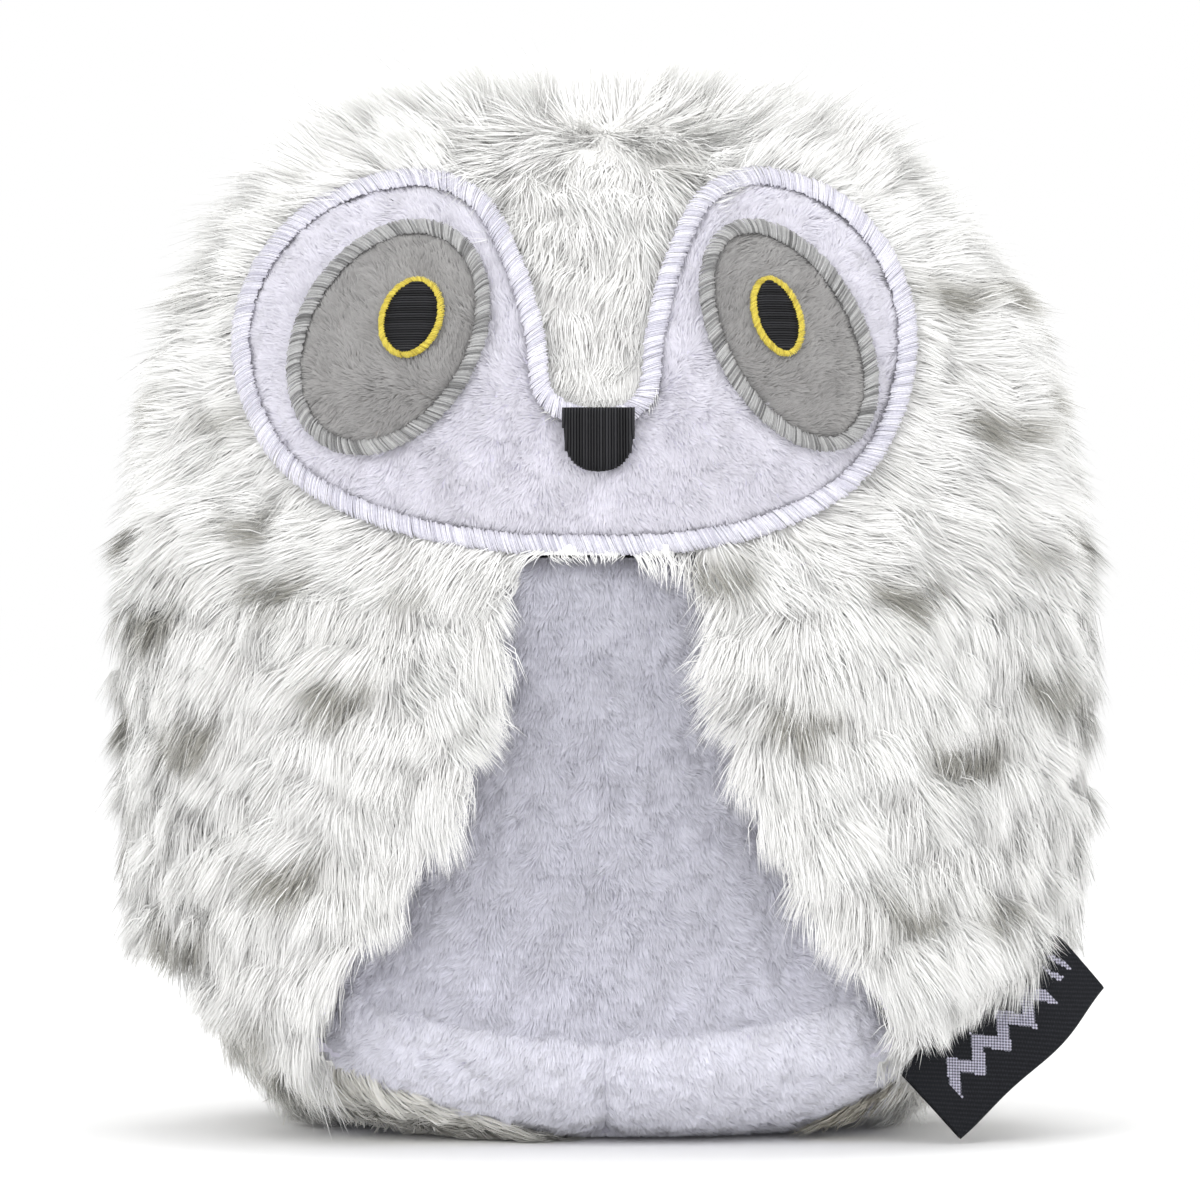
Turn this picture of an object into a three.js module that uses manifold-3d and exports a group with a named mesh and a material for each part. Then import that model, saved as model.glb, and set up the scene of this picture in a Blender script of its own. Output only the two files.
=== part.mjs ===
// A soft snowy-owl pet toy: fur panels, a face disc with embroidered eyes,
// two lined wings, and a squeaker.
// Millimetres, +Z up. The face looks along -Y, and left and right are as seen from the front.
import * as THREE from 'three';
import { mergeVertices } from 'three/addons/utils/BufferGeometryUtils.js';
import Module from 'manifold-3d';

const wasm = await Module();
wasm.setup();
const { Manifold, Mesh } = wasm;

// ---------- driving sizes ----------
const GAP = 0.3; // between neighbours that touch
const FUR = 8; // pile and backing, lightly pressed
const PLUSH = 2.5; // short pile and backing
const REACH = 90; // past every surface of the toy, for cutters

const DEPTH_RATIO = 0.79; // half depth over half width
const ROUNDNESS = 2.3; // exponent of the plan section, where 2 is an ellipse
const Y_SHIFT = 2.7; // puts the origin under the middle of the box

const SIDE_SEAM_Y = 6;
const NECK_Z = 88;
const WING_TOP_Z = 85;

const FACE_X = -1;
const FACE_RIGHT = 0.86; // the right half is sewn further round the curve
const STITCH = 2.9; // width of the face border

const PRESS = 8; // travel of the belly
const SQUEAKER_Z = 50;
const SQUEAKER_R = 16;
const SQUEAKER_FRONT_Y = -24;
const BELLOWS = 14;
const PLATE = 2;

// ---------- solids ----------
const AROUND = 32;
const UPWARD = 20;

// half width against height, from the middle of the base to the crown
const bodyProfile = new THREE.SplineCurve([
  new THREE.Vector2(30, 0), new THREE.Vector2(46, 4), new THREE.Vector2(57.5, 13),
  new THREE.Vector2(64, 28), new THREE.Vector2(65.5, 50), new THREE.Vector2(67, 74),
  new THREE.Vector2(71.5, 94), new THREE.Vector2(70, 112), new THREE.Vector2(64, 128),
  new THREE.Vector2(54.5, 141), new THREE.Vector2(40, 150.5), new THREE.Vector2(22, 156.5),
  new THREE.Vector2(0, 158),
]);
const FLAT_SHARE = 1 / UPWARD; // of the rows, for the flat base

function profileAt(up) {
  if (up <= FLAT_SHARE) {
    return new THREE.Vector2((30 * up) / FLAT_SHARE, 0);
  }
  return bodyProfile.getPointAt((up - FLAT_SHARE) / (1 - FLAT_SHARE));
}

const rounded = (value) => Math.sign(value) * Math.abs(value) ** (2 / ROUNDNESS);

function bodyPoint(around, up) {
  const { x: halfWidth, y: height } = profileAt(THREE.MathUtils.clamp(up, 0, 1));
  const angle = around * 2 * Math.PI;
  const x = halfWidth * rounded(Math.cos(angle));
  const y = halfWidth * DEPTH_RATIO * rounded(Math.sin(angle));
  return new THREE.Vector3(x, y + Y_SHIFT, height);
}

// A point of the body's surface, moved out along the surface's normal.
function offsetPoint(around, up, out) {
  if (up < 1e-6) {
    return bodyPoint(0, 0).add(new THREE.Vector3(0, 0, -out));
  }
  if (up > 1 - 1e-6) {
    return bodyPoint(0, 1).add(new THREE.Vector3(0, 0, out));
  }
  const step = 0.01;
  const across = bodyPoint(around + step, up).sub(bodyPoint(around - step, up));
  const upward = bodyPoint(around, up + step).sub(bodyPoint(around, up - step));
  return bodyPoint(around, up).addScaledVector(across.cross(upward).normalize(), out);
}

function toManifold(geometry) {
  const bare = geometry.index ? geometry.clone() : geometry;
  bare.deleteAttribute('normal');
  bare.deleteAttribute('uv');
  const merged = mergeVertices(bare, 1e-4);
  return new Manifold(new Mesh({
    numProp: 3,
    vertProperties: new Float32Array(merged.attributes.position.array),
    triVerts: new Uint32Array(merged.index.array),
  }));
}

function toGeometry(solid) {
  const mesh = solid.getMesh();
  const geometry = new THREE.BufferGeometry();
  geometry.setAttribute('position', new THREE.BufferAttribute(new Float32Array(mesh.vertProperties), 3));
  geometry.setIndex(new THREE.BufferAttribute(new Uint32Array(mesh.triVerts), 1));
  return geometry;
}

// The whole body, grown by a distance: a sphere whose points are moved to the body's surface.
const grownBodies = new Map();
function body(out) {
  if (!grownBodies.has(out)) {
    const sphere = new THREE.SphereGeometry(1, AROUND, UPWARD);
    const { position, uv } = sphere.attributes;
    for (let i = 0; i < position.count; i += 1) {
      const column = Math.round(uv.getX(i) * AROUND) % AROUND;
      const point = offsetPoint(column / AROUND, uv.getY(i), out);
      position.setXYZ(i, point.x, point.y, point.z);
    }
    grownBodies.set(out, toManifold(sphere));
  }
  return grownBodies.get(out);
}

const layer = (outer, inner) => body(outer).subtract(body(inner));

// Cutters: an outline seen from the front, from the side or from above, and pushed through the toy.
function fromFront(outline, yFront = -REACH, yBack = 0) {
  const geometry = new THREE.ExtrudeGeometry(outline, { depth: yBack - yFront, bevelEnabled: false });
  geometry.rotateX(Math.PI / 2);
  geometry.translate(0, yBack, 0);
  return toManifold(geometry);
}

function fromSide(outline) {
  const geometry = new THREE.ExtrudeGeometry(outline, { depth: 2 * REACH, bevelEnabled: false });
  geometry.rotateX(Math.PI / 2);
  geometry.rotateZ(Math.PI / 2);
  geometry.translate(-REACH, 0, 0);
  return toManifold(geometry);
}

function fromAbove(outline, z, height) {
  const geometry = new THREE.ExtrudeGeometry(outline, { depth: height, bevelEnabled: false });
  geometry.translate(0, 0, z);
  return toManifold(geometry);
}

function box(x0, x1, y0, y1, z0, z1) {
  const geometry = new THREE.BoxGeometry(x1 - x0, y1 - y0, z1 - z0);
  geometry.translate((x0 + x1) / 2, (y0 + y1) / 2, (z0 + z1) / 2);
  return toManifold(geometry);
}

// A turned piece whose axis runs front to back through the squeaker.
// Each pair is a radius and a place in y.
function turned(profile, sides = 24) {
  const points = profile.map(([radius, y]) => new THREE.Vector2(radius, y));
  const geometry = new THREE.LatheGeometry(points, sides);
  geometry.translate(0, 0, SQUEAKER_Z);
  return toManifold(geometry);
}

// ---------- outlines ----------
const point = (x, y) => new THREE.Vector2(x, y);

// A closed outline moved in by a distance, at even steps along it.
function insetShape(shape, inset, count = 60) {
  const samples = shape.getSpacedPoints(count).slice(0, count);
  const turn = THREE.ShapeUtils.isClockWise(samples) ? -1 : 1;
  return new THREE.Shape(samples.map((here, i) => {
    const ahead = samples[(i + 1) % count];
    const along = ahead.clone().sub(samples[(i + count - 1) % count]).normalize();
    return point(here.x - along.y * inset * turn, here.y + along.x * inset * turn);
  }));
}

function ellipseShape(spec, inset = 0, count = 26) {
  const curve = new THREE.EllipseCurve(
    spec.x, spec.z, spec.halfWidth - inset, spec.halfHeight - inset, 0, 2 * Math.PI, false, spec.tilt,
  );
  return new THREE.Shape(curve.getPoints(count).slice(0, count));
}

// half of the face disc, as distances from its middle and heights, from the chin to the fur wedge
const faceHalf = [
  [15, 88.6], [30, 91.5], [44, 98], [52, 108], [55, 121], [51.5, 133], [42, 142.5], [28, 146.3],
  [17.5, 142.5], [11.5, 132.5], [8, 121], [6.5, 112],
];
function faceShape() {
  const right = faceHalf.map(([x, z]) => point(FACE_X + x * FACE_RIGHT, z));
  const left = faceHalf.map(([x, z]) => point(FACE_X - x, z)).reverse();
  const chin = point(FACE_X, 88);
  const shape = new THREE.Shape();
  shape.moveTo(chin.x, chin.y);
  shape.splineThru([...right, point(FACE_X, 109.5), ...left, chin]);
  return shape;
}

const eyes = {
  left: { x: -32, z: 120.3, halfWidth: 13.8, halfHeight: 18.7, tilt: -0.52 },
  right: { x: 27, z: 120.5, halfWidth: 11.2, halfHeight: 18.7, tilt: 0.49 },
};
const irises = {
  left: { x: -28.5, z: 123, halfWidth: 4.7, halfHeight: 6.2, tilt: -0.35 },
  right: { x: 25.2, z: 123.1, halfWidth: 3.7, halfHeight: 6.2, tilt: 0.32 },
};
const EYE_STITCH = 2.2;
const IRIS_STITCH = 1.3;

function beakShape() {
  const shape = new THREE.Shape();
  shape.moveTo(FACE_X - 5.2, 109);
  shape.lineTo(FACE_X - 4.9, 105.2);
  shape.quadraticCurveTo(FACE_X - 4.2, 100.4, FACE_X, 100.2);
  shape.quadraticCurveTo(FACE_X + 4.2, 100.4, FACE_X + 4.9, 105.2);
  shape.lineTo(FACE_X + 5.2, 109);
  return shape;
}

// The belly's outline, grown by a distance: narrow under the chin, wide above the base.
function bellyShape(grow) {
  const shape = new THREE.Shape();
  shape.moveTo(-20 - grow, NECK_Z - GAP);
  shape.bezierCurveTo(-22 - grow, 66, -40 - grow, 52, -45 - grow, 26 - grow);
  shape.quadraticCurveTo(-24, 19 - grow, 0, 17 - grow);
  shape.quadraticCurveTo(24, 19 - grow, 45 + grow, 26 - grow);
  shape.bezierCurveTo(40 + grow, 52, 22 + grow, 66, 20 + grow, NECK_Z - GAP);
  return shape;
}

// What the base gusset covers, seen from above.
function gussetShape(grow) {
  const curve = new THREE.EllipseCurve(0, Y_SHIFT - 14, 47 + grow, 41 + grow, 0, 2 * Math.PI);
  return new THREE.Shape(curve.getPoints(40).slice(0, 40));
}

// The wing seen from the front, on the side +1 or -1: round its inner edge, its tip and its hem.
const HEM = { low: point(42, 10), high: point(66, 33) };
function wingFrontShape(side, inset = 0) {
  const top = WING_TOP_Z - inset;
  const shape = new THREE.Shape();
  shape.moveTo(side * (16 + inset), top);
  shape.bezierCurveTo(side * (14 + inset), 66, side * (21 + inset), 55, side * (29 + inset), 38);
  const tip = point(side * HEM.low.x, HEM.low.y + inset);
  shape.bezierCurveTo(side * (33 + inset), 28, side * (34 + inset), tip.y + 2, tip.x, tip.y);
  shape.lineTo(side * HEM.high.x, HEM.high.y + inset);
  shape.lineTo(side * REACH, HEM.high.y + 14 + inset);
  shape.lineTo(side * REACH, top);
  return shape;
}

// The wing seen from the side: its rear edge runs down and forward to the hem.
function wingSideShape() {
  const shape = new THREE.Shape();
  shape.moveTo(-REACH, WING_TOP_Z);
  shape.lineTo(-REACH, 0);
  shape.lineTo(-8, 0);
  shape.quadraticCurveTo(12, 20, 13, 48);
  shape.quadraticCurveTo(13, 70, 9, WING_TOP_Z);
  return shape;
}

// ---------- the scene ----------
const owl = new THREE.Group();

const looks = {
  fur: { color: 0xe9e8e3, roughness: 0.95 },
  lavender: { color: 0xd6d4e6, roughness: 0.9 },
  grey: { color: 0x9c9997, roughness: 0.9 },
  lavenderThread: { color: 0xcfcde0, roughness: 0.5 },
  greyThread: { color: 0x8f8f8d, roughness: 0.5 },
  yellowThread: { color: 0xd3bd2c, roughness: 0.5 },
  blackThread: { color: 0x1b1c20, roughness: 0.5 },
  filling: { color: 0xf4f3ef, roughness: 1 },
  felt: { color: 0xdcdad2, roughness: 1 },
  film: { color: 0xc9d2d6, roughness: 0.3 },
  plastic: { color: 0xf1f0ea, roughness: 0.4 },
  label: { color: 0x16181d, roughness: 0.8 },
};

function add(name, look, solid) {
  const material = new THREE.MeshStandardMaterial({ metalness: 0, ...looks[look] });
  const mesh = new THREE.Mesh(toGeometry(solid), material);
  mesh.name = name;
  owl.add(mesh);
}

// ---------- body panels ----------
const face = (inset) => fromFront(insetShape(faceShape(), inset));
const belly = (grow) => fromFront(bellyShape(grow));
const GUSSET_TOP = 24;
const gusset = (grow) => fromAbove(gussetShape(grow), -10, GUSSET_TOP + grow + 10);

const furLayer = layer(0, -FUR);
const plushLayer = layer(0, -PLUSH);
const aboveNeck = box(-REACH, REACH, -REACH, REACH, NECK_Z, 2 * REACH);
const front = box(-REACH, REACH, -REACH, SIDE_SEAM_Y, -10, 2 * REACH);
const back = box(-REACH, REACH, SIDE_SEAM_Y + GAP, REACH, -10, 2 * REACH);
const leftHalf = box(-REACH, -GAP / 2, -REACH, REACH, -10, 2 * REACH);
const rightHalf = box(GAP / 2, REACH, -REACH, REACH, -10, 2 * REACH);

const backFur = furLayer.intersect(back).subtract(gusset(GAP));
add('back_fur_left', 'fur', backFur.intersect(leftHalf));
add('back_fur_right', 'fur', backFur.intersect(rightHalf));

add('head_front_fur', 'fur', furLayer.intersect(front).intersect(aboveNeck).subtract(face(-GAP)));

const belowNeck = box(-REACH, REACH, -REACH, SIDE_SEAM_Y, -10, NECK_Z - GAP);
const sideFur = furLayer.intersect(belowNeck)
  .subtract(belly(GAP)).subtract(gusset(GAP)).subtract(face(-GAP));
const sidePanel = (side) => sideFur.intersect(side === 'left' ? leftHalf : rightHalf);
add('left_side_fur', 'fur', sidePanel('left'));
add('right_side_fur', 'fur', sidePanel('right'));

const gussetPlush = plushLayer.intersect(gusset(0)).subtract(belly(GAP));
add('base_gusset_left', 'lavender', gussetPlush.intersect(leftHalf));
add('base_gusset_right', 'lavender', gussetPlush.intersect(rightHalf));

const bellyCut = belly(0).subtract(face(-GAP));
add('belly_panel', 'lavender', plushLayer.intersect(bellyCut));

// ---------- face ----------
add('face_disc', 'lavender', layer(1.2, -1.5).intersect(face(STITCH + GAP)));
add('face_border', 'lavenderThread', layer(2, -1.5).intersect(face(0)).subtract(face(STITCH)));
add('face_backing', 'felt', layer(-1.8, -2.8).intersect(face(1)));

function addEye(side) {
  const patch = fromFront(ellipseShape(eyes[side], EYE_STITCH + GAP));
  const rim = fromFront(ellipseShape(eyes[side]))
    .subtract(fromFront(ellipseShape(eyes[side], EYE_STITCH)));
  const ring = fromFront(ellipseShape(irises[side]))
    .subtract(fromFront(ellipseShape(irises[side], IRIS_STITCH)));
  const pupil = fromFront(ellipseShape(irises[side], IRIS_STITCH + GAP));
  add(`${side}_eye_patch`, 'grey', layer(2.5, 1.5).intersect(patch));
  add(`${side}_eye_border`, 'greyThread', layer(3, 1.5).intersect(rim));
  add(`${side}_iris_ring`, 'yellowThread', layer(3.8, 2.8).intersect(ring));
  add(`${side}_pupil`, 'blackThread', layer(3.8, 2.8).intersect(pupil));
}
addEye('left');
addEye('right');

add('beak', 'blackThread', layer(3.4, 2.3).intersect(fromFront(beakShape())));

// ---------- filling ----------
const bellyRear = SQUEAKER_FRONT_Y + PRESS + GAP; // how far back the belly's filling may be pressed
const bellySlot = fromFront(bellyShape(1), -REACH, bellyRear);
const squeakerRoom = turned([[0, -40], [SQUEAKER_R + 3, -40], [SQUEAKER_R + 3, 12], [0, 12]]);
const underPlush = body(-PLUSH - GAP);
const underFur = body(-FUR - GAP);
const behindFace = body(-3.1).intersect(face(2));

const headRoom = box(-REACH, REACH, -REACH, REACH, NECK_Z + 2, 2 * REACH);
add('head_filling', 'filling', underFur.add(behindFace).intersect(headRoom));

const trunk = box(-REACH, REACH, -REACH, REACH, -10, NECK_Z + 2 - GAP);
const trunkFilling = underFur.add(underPlush.intersect(gusset(-GAP)));
add('body_filling', 'filling', trunkFilling.intersect(trunk).subtract(bellySlot).subtract(squeakerRoom));

const bellyInside = fromFront(bellyShape(-GAP), -REACH, SQUEAKER_FRONT_Y - GAP);
const belowBand = box(-REACH, REACH, -REACH, REACH, -10, NECK_Z - 3);
add('belly_filling', 'filling', underPlush.intersect(bellyInside).intersect(belowBand));

// ---------- squeaker ----------
const frontPlateRear = SQUEAKER_FRONT_Y + PLATE;
const rearPlateFront = frontPlateRear + BELLOWS;
const rearPlateRear = rearPlateFront + PLATE;

const plateY = SQUEAKER_FRONT_Y;
add('squeaker_front_plate', 'plastic', turned([
  [0, plateY], [SQUEAKER_R - 1, plateY], [SQUEAKER_R, plateY + 1], [SQUEAKER_R, frontPlateRear],
  [0, frontPlateRear],
]));

// The bellows: a thin pleated wall, open at both ends.
function bellowsProfile() {
  const pleats = 4;
  const wall = 0.8;
  const from = frontPlateRear + GAP;
  const pitch = (BELLOWS - 2 * GAP) / pleats;
  const outer = [];
  for (let i = 0; i <= 2 * pleats; i += 1) {
    outer.push([i % 2 ? SQUEAKER_R - 0.4 : SQUEAKER_R - 3.4, from + (i * pitch) / 2]);
  }
  const inner = outer.map(([radius, y]) => [radius - wall, y]).reverse();
  return [...outer, ...inner, outer[0]];
}
add('squeaker_bellows', 'plastic', turned(bellowsProfile()));

const plugRadius = 5.5;
add('squeaker_rear_plate', 'plastic', turned([
  [plugRadius + GAP, rearPlateFront], [SQUEAKER_R, rearPlateFront], [SQUEAKER_R, rearPlateRear],
  [plugRadius + GAP, rearPlateRear], [plugRadius + GAP, rearPlateFront],
]));

const plugRear = rearPlateRear + 8;
const plugBore = 3.2;
add('reed_plug', 'plastic', turned([
  [plugBore, rearPlateFront], [plugRadius, rearPlateFront], [plugRadius, rearPlateRear],
  [plugRadius + 1.2, rearPlateRear + GAP], [plugRadius + 1.2, rearPlateRear + 1.5],
  [plugRadius, rearPlateRear + 1.5], [plugRadius, plugRear], [plugBore, plugRear],
  [plugBore, rearPlateFront],
]));

// The reed's seat is a half-round wedge in the bore, and the reed lies along its flat.
const boreCore = turned([[0, rearPlateFront + 1], [plugBore - GAP, rearPlateFront + 1],
  [plugBore - GAP, plugRear - 1], [0, plugRear - 1]]);
const seatHalf = box(-10, 10, -REACH, REACH, SQUEAKER_Z - 10, SQUEAKER_Z - 0.2);
const airWay = box(-1, 1, -REACH, plugRear - 4, SQUEAKER_Z - 1.6, SQUEAKER_Z);
add('reed_seat', 'plastic', boreCore.intersect(seatHalf).subtract(airWay));
const reedHalf = box(-1.9, 1.9, rearPlateFront + 1.5, plugRear - 1.5, SQUEAKER_Z + 0.1, SQUEAKER_Z + 0.4);
add('reed_tongue', 'film', boreCore.intersect(reedHalf));

// The pouch is a cloth cup round the back of the squeaker.
const pouchInner = SQUEAKER_R + GAP;
const pouchOuter = pouchInner + 1;
const pouchRear = plugRear + 1.4;
add('squeaker_pouch', 'felt', turned([
  [pouchInner, rearPlateFront - 4], [pouchOuter, rearPlateFront - 4], [pouchOuter, rearPlateRear + 3],
  [plugRadius + 5, pouchRear], [0, pouchRear], [0, pouchRear - 1], [plugRadius + 4, pouchRear - 1],
  [pouchInner, rearPlateRear + 2.6], [pouchInner, rearPlateFront - 4],
]));

// ---------- wings ----------
// The wings thin out towards the shoulder, inside this egg.
const wingEgg = new THREE.SphereGeometry(1, AROUND, UPWARD);
wingEgg.scale(83, 67.5, 86).translate(0, Y_SHIFT, 46);
const wingRoom = toManifold(wingEgg);

function addWing(name, side) {
  const cut = fromFront(wingFrontShape(side), -REACH, REACH).intersect(fromSide(wingSideShape()));
  const filmCut = fromFront(wingFrontShape(side, 4), -REACH, SIDE_SEAM_Y);
  const [inner, outer] = [side * 27, side * REACH].sort((a, b) => a - b);
  const strip = box(inner, outer, -REACH, -14, WING_TOP_Z - 6, WING_TOP_Z + 2);
  add(`${name}_wing_seam_strip`, 'lavender', layer(1.3, GAP).intersect(strip));
  add(`${name}_wing_lining`, 'lavender', layer(2.9, 1.9).intersect(cut));
  add(`${name}_wing_film`, 'film', layer(3.6, 3.2).intersect(filmCut));
  add(`${name}_wing_fur`, 'fur', layer(9.6, 3.9).intersect(cut).intersect(wingRoom));
}
addWing('left', -1);
addWing('right', 1);

// ---------- label ----------
// A woven ribbon folded in two: its ends are sewn to the hem of the right wing, and its fold hangs free.
const LABEL_LONG = 32.5;
const LABEL_WIDE = 13.5;
const LABEL_PLY = 0.45;

function labelSection() {
  const half = LABEL_PLY + GAP / 2;
  const bend = LABEL_WIDE - half;
  const shape = new THREE.Shape();
  shape.moveTo(0, -half);
  shape.lineTo(bend, -half);
  shape.absarc(bend, 0, half, -Math.PI / 2, Math.PI / 2);
  shape.lineTo(0, half);
  shape.lineTo(0, GAP / 2);
  shape.lineTo(bend, GAP / 2);
  shape.lineTo(bend, -GAP / 2);
  shape.lineTo(0, -GAP / 2);
  return shape;
}

const hemRun = new THREE.Vector3(HEM.high.x - HEM.low.x, 9, HEM.high.y - HEM.low.y).normalize();
const hemOut = new THREE.Vector3(hemRun.z, 0, -hemRun.x).normalize();
const hemMiddle = new THREE.Vector3((HEM.low.x + HEM.high.x) / 2, -29, (HEM.low.y + HEM.high.y) / 2);
const labelPlace = new THREE.Matrix4().makeBasis(hemOut, hemRun.clone().cross(hemOut), hemRun);
labelPlace.setPosition(hemMiddle.addScaledVector(hemOut, 2 * GAP).addScaledVector(hemRun, 1.2));
const labelLoop = new THREE.ExtrudeGeometry(labelSection(), {
  depth: LABEL_LONG, bevelEnabled: false, curveSegments: 4,
});
labelLoop.translate(0, 0, -LABEL_LONG / 2).applyMatrix4(labelPlace);
add('woven_label', 'label', toManifold(labelLoop));

export default owl;
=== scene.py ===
"""The looks of a plush owl pet toy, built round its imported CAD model. Lengths are in metres."""
import math

import bpy
import numpy as np
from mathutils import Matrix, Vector, geometry
from mathutils.kdtree import KDTree


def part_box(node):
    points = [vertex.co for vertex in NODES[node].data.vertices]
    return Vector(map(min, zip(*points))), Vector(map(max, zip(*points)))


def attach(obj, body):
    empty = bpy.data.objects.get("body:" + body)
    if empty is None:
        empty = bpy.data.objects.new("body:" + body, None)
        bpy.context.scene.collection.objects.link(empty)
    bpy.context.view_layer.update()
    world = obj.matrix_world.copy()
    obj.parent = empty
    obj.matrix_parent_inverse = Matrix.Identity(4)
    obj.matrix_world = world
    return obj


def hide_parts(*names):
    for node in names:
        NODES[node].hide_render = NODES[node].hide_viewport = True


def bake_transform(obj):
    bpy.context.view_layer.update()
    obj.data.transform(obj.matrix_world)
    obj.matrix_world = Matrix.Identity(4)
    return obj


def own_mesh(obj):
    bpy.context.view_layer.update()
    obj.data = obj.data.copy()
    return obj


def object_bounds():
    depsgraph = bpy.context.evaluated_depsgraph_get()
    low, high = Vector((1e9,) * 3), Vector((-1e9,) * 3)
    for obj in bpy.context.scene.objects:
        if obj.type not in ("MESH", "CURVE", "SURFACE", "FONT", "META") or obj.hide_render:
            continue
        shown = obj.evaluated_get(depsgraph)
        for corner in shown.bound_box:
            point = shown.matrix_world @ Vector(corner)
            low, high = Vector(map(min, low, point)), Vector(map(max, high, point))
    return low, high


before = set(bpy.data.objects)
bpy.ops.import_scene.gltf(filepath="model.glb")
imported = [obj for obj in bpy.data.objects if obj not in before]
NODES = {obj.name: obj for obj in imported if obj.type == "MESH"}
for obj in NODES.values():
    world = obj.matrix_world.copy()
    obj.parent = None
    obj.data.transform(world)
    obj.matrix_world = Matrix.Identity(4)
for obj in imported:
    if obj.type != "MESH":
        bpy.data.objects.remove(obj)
CAD_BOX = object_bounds()

MM = 0.001

# ---------------------------------------------------------------- the body's shape, as the CAD has it
PROFILE = [(30, 0), (46, 4), (57.5, 13), (64, 28), (65.5, 50), (67, 74), (71.5, 94), (70, 112), (64, 128),
           (54.5, 141), (40, 150.5), (22, 156.5), (0, 158)]  # half width and height, in mm
FLAT_SHARE = 0.05  # of the profile's run, for the flat base
DEPTH_RATIO = 0.79
ROUNDNESS = 2.3
HEAD_LOW, HEAD_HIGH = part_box("head_front_fur")
NECK_Z = HEAD_LOW[2]
SEAM_Y = HEAD_HIGH[1]
BACK_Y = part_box("back_fur_left")[1][1]
WIDEST = max(w for w, _ in PROFILE) * MM
Y_SHIFT = BACK_Y - WIDEST * DEPTH_RATIO


def catmull(points, per_span=16):
    """A smooth curve through the points, as many samples for each span."""
    p = np.array(points, float)
    p = np.vstack([p[:1], p, p[-1:]])
    t = np.linspace(0, 1, per_span, endpoint=False)[:, None]
    spans = []
    for p0, p1, p2, p3 in zip(p, p[1:], p[2:], p[3:]):
        v0, v1 = (p2 - p0) / 2, (p3 - p1) / 2
        cubic = 2 * p1 - 2 * p2 + v0 + v1
        square = 3 * p2 - 3 * p1 - 2 * v0 - v1
        spans.append(cubic * t**3 + square * t**2 + v0 * t + p1)
    return np.vstack([*spans, p[-1:]])


def run_length(curve):
    steps = np.linalg.norm(np.diff(curve, axis=0), axis=1)
    return np.concatenate([[0], np.cumsum(steps)])


_curve = catmull(PROFILE, 40) * MM
_run = run_length(_curve)
UP = np.concatenate([[0], FLAT_SHARE + (1 - FLAT_SHARE) * _run / _run[-1]])
HALF_WIDTH = np.concatenate([[0], _curve[:, 0]])
HEIGHT = np.concatenate([[0], _curve[:, 1]])
WIDTH_SLOPE = np.gradient(HALF_WIDTH, UP)
HEIGHT_SLOPE = np.gradient(HEIGHT, UP)


def unit(v):
    return v / np.maximum(np.linalg.norm(v, axis=-1, keepdims=True), 1e-12)


def power(value, exponent):
    return np.sign(value) * np.abs(value) ** exponent


def fade(value, zero, one):
    """0 up to the first level, 1 from the second on, and even between them."""
    return np.clip((value - zero) / (one - zero), 0, 1)


def vectors(x, y, z):
    """Points or directions from their three parts, each an array or one number."""
    return np.stack(np.broadcast_arrays(x, y, z), axis=-1).astype(float)


def body_surface(around, up, out=0.0):
    """(points, normals) of the body at angles around it and shares up its profile, moved out."""
    width = np.interp(up, UP, HALF_WIDTH)
    c, s = power(np.cos(around), 2 / ROUNDNESS), power(np.sin(around), 2 / ROUNDNESS)
    rise, spread = np.interp(up, UP, HEIGHT_SLOPE), np.interp(up, UP, WIDTH_SLOPE)
    across, deep = power(c, ROUNDNESS - 1), power(s, ROUNDNESS - 1) / DEPTH_RATIO
    normal = unit(vectors(across * rise, deep * rise, -spread))
    point = vectors(width * c, width * DEPTH_RATIO * s + Y_SHIFT, np.interp(up, UP, HEIGHT))
    return point + normal * np.expand_dims(np.broadcast_to(out, point.shape[:-1]), -1), normal


def front_surface(x, z, out=0.0):
    """(points, normals) on the front, where a line along Y through (x, z) meets the body grown by out."""
    out = np.broadcast_to(out, np.shape(x)).astype(float)
    xb, zb = np.array(x, float), np.array(z, float)
    for _ in range(4):
        up = np.interp(zb, HEIGHT[1:], UP[1:])
        width = np.interp(up, UP, HALF_WIDTH)
        share = np.clip(xb / np.maximum(width, 1e-6), -0.9995, 0.9995)
        around = -np.arccos(power(share, ROUNDNESS / 2))
        point, normal = body_surface(around, up, out)
        xb = xb + (x - point[..., 0])
        zb = np.clip(zb + (z - point[..., 2]), 0.0002, HEIGHT[-1] - 0.0002)
    return point, normal


# ---------------------------------------------------------------- outlines, seen from the front
def bezier(p0, p1, p2, p3, steps=16):
    t = np.linspace(0, 1, steps, endpoint=False)[:, None]
    p0, p1, p2, p3 = (np.array(p, float) for p in (p0, p1, p2, p3))
    return (1 - t) ** 3 * p0 + 3 * (1 - t) ** 2 * t * p1 + 3 * (1 - t) * t**2 * p2 + t**3 * p3


def resample(outline, count):
    closed = np.vstack([outline, outline[:1]])
    run = run_length(closed)
    at = np.linspace(0, run[-1], count, endpoint=False)
    return np.stack([np.interp(at, run, closed[:, 0]), np.interp(at, run, closed[:, 1])], axis=-1)


def outward(outline):
    """The outline's normals, pointing out."""
    along = np.roll(outline, -1, axis=0) - np.roll(outline, 1, axis=0)
    area = (outline[:, 0] * np.roll(outline[:, 1], -1) - outline[:, 1] * np.roll(outline[:, 0], -1)).sum()
    side = np.stack([along[:, 1], -along[:, 0]], axis=-1) * np.sign(area)
    return unit(side)


def inset(outline, by):
    return outline - outward(outline) * by


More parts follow.
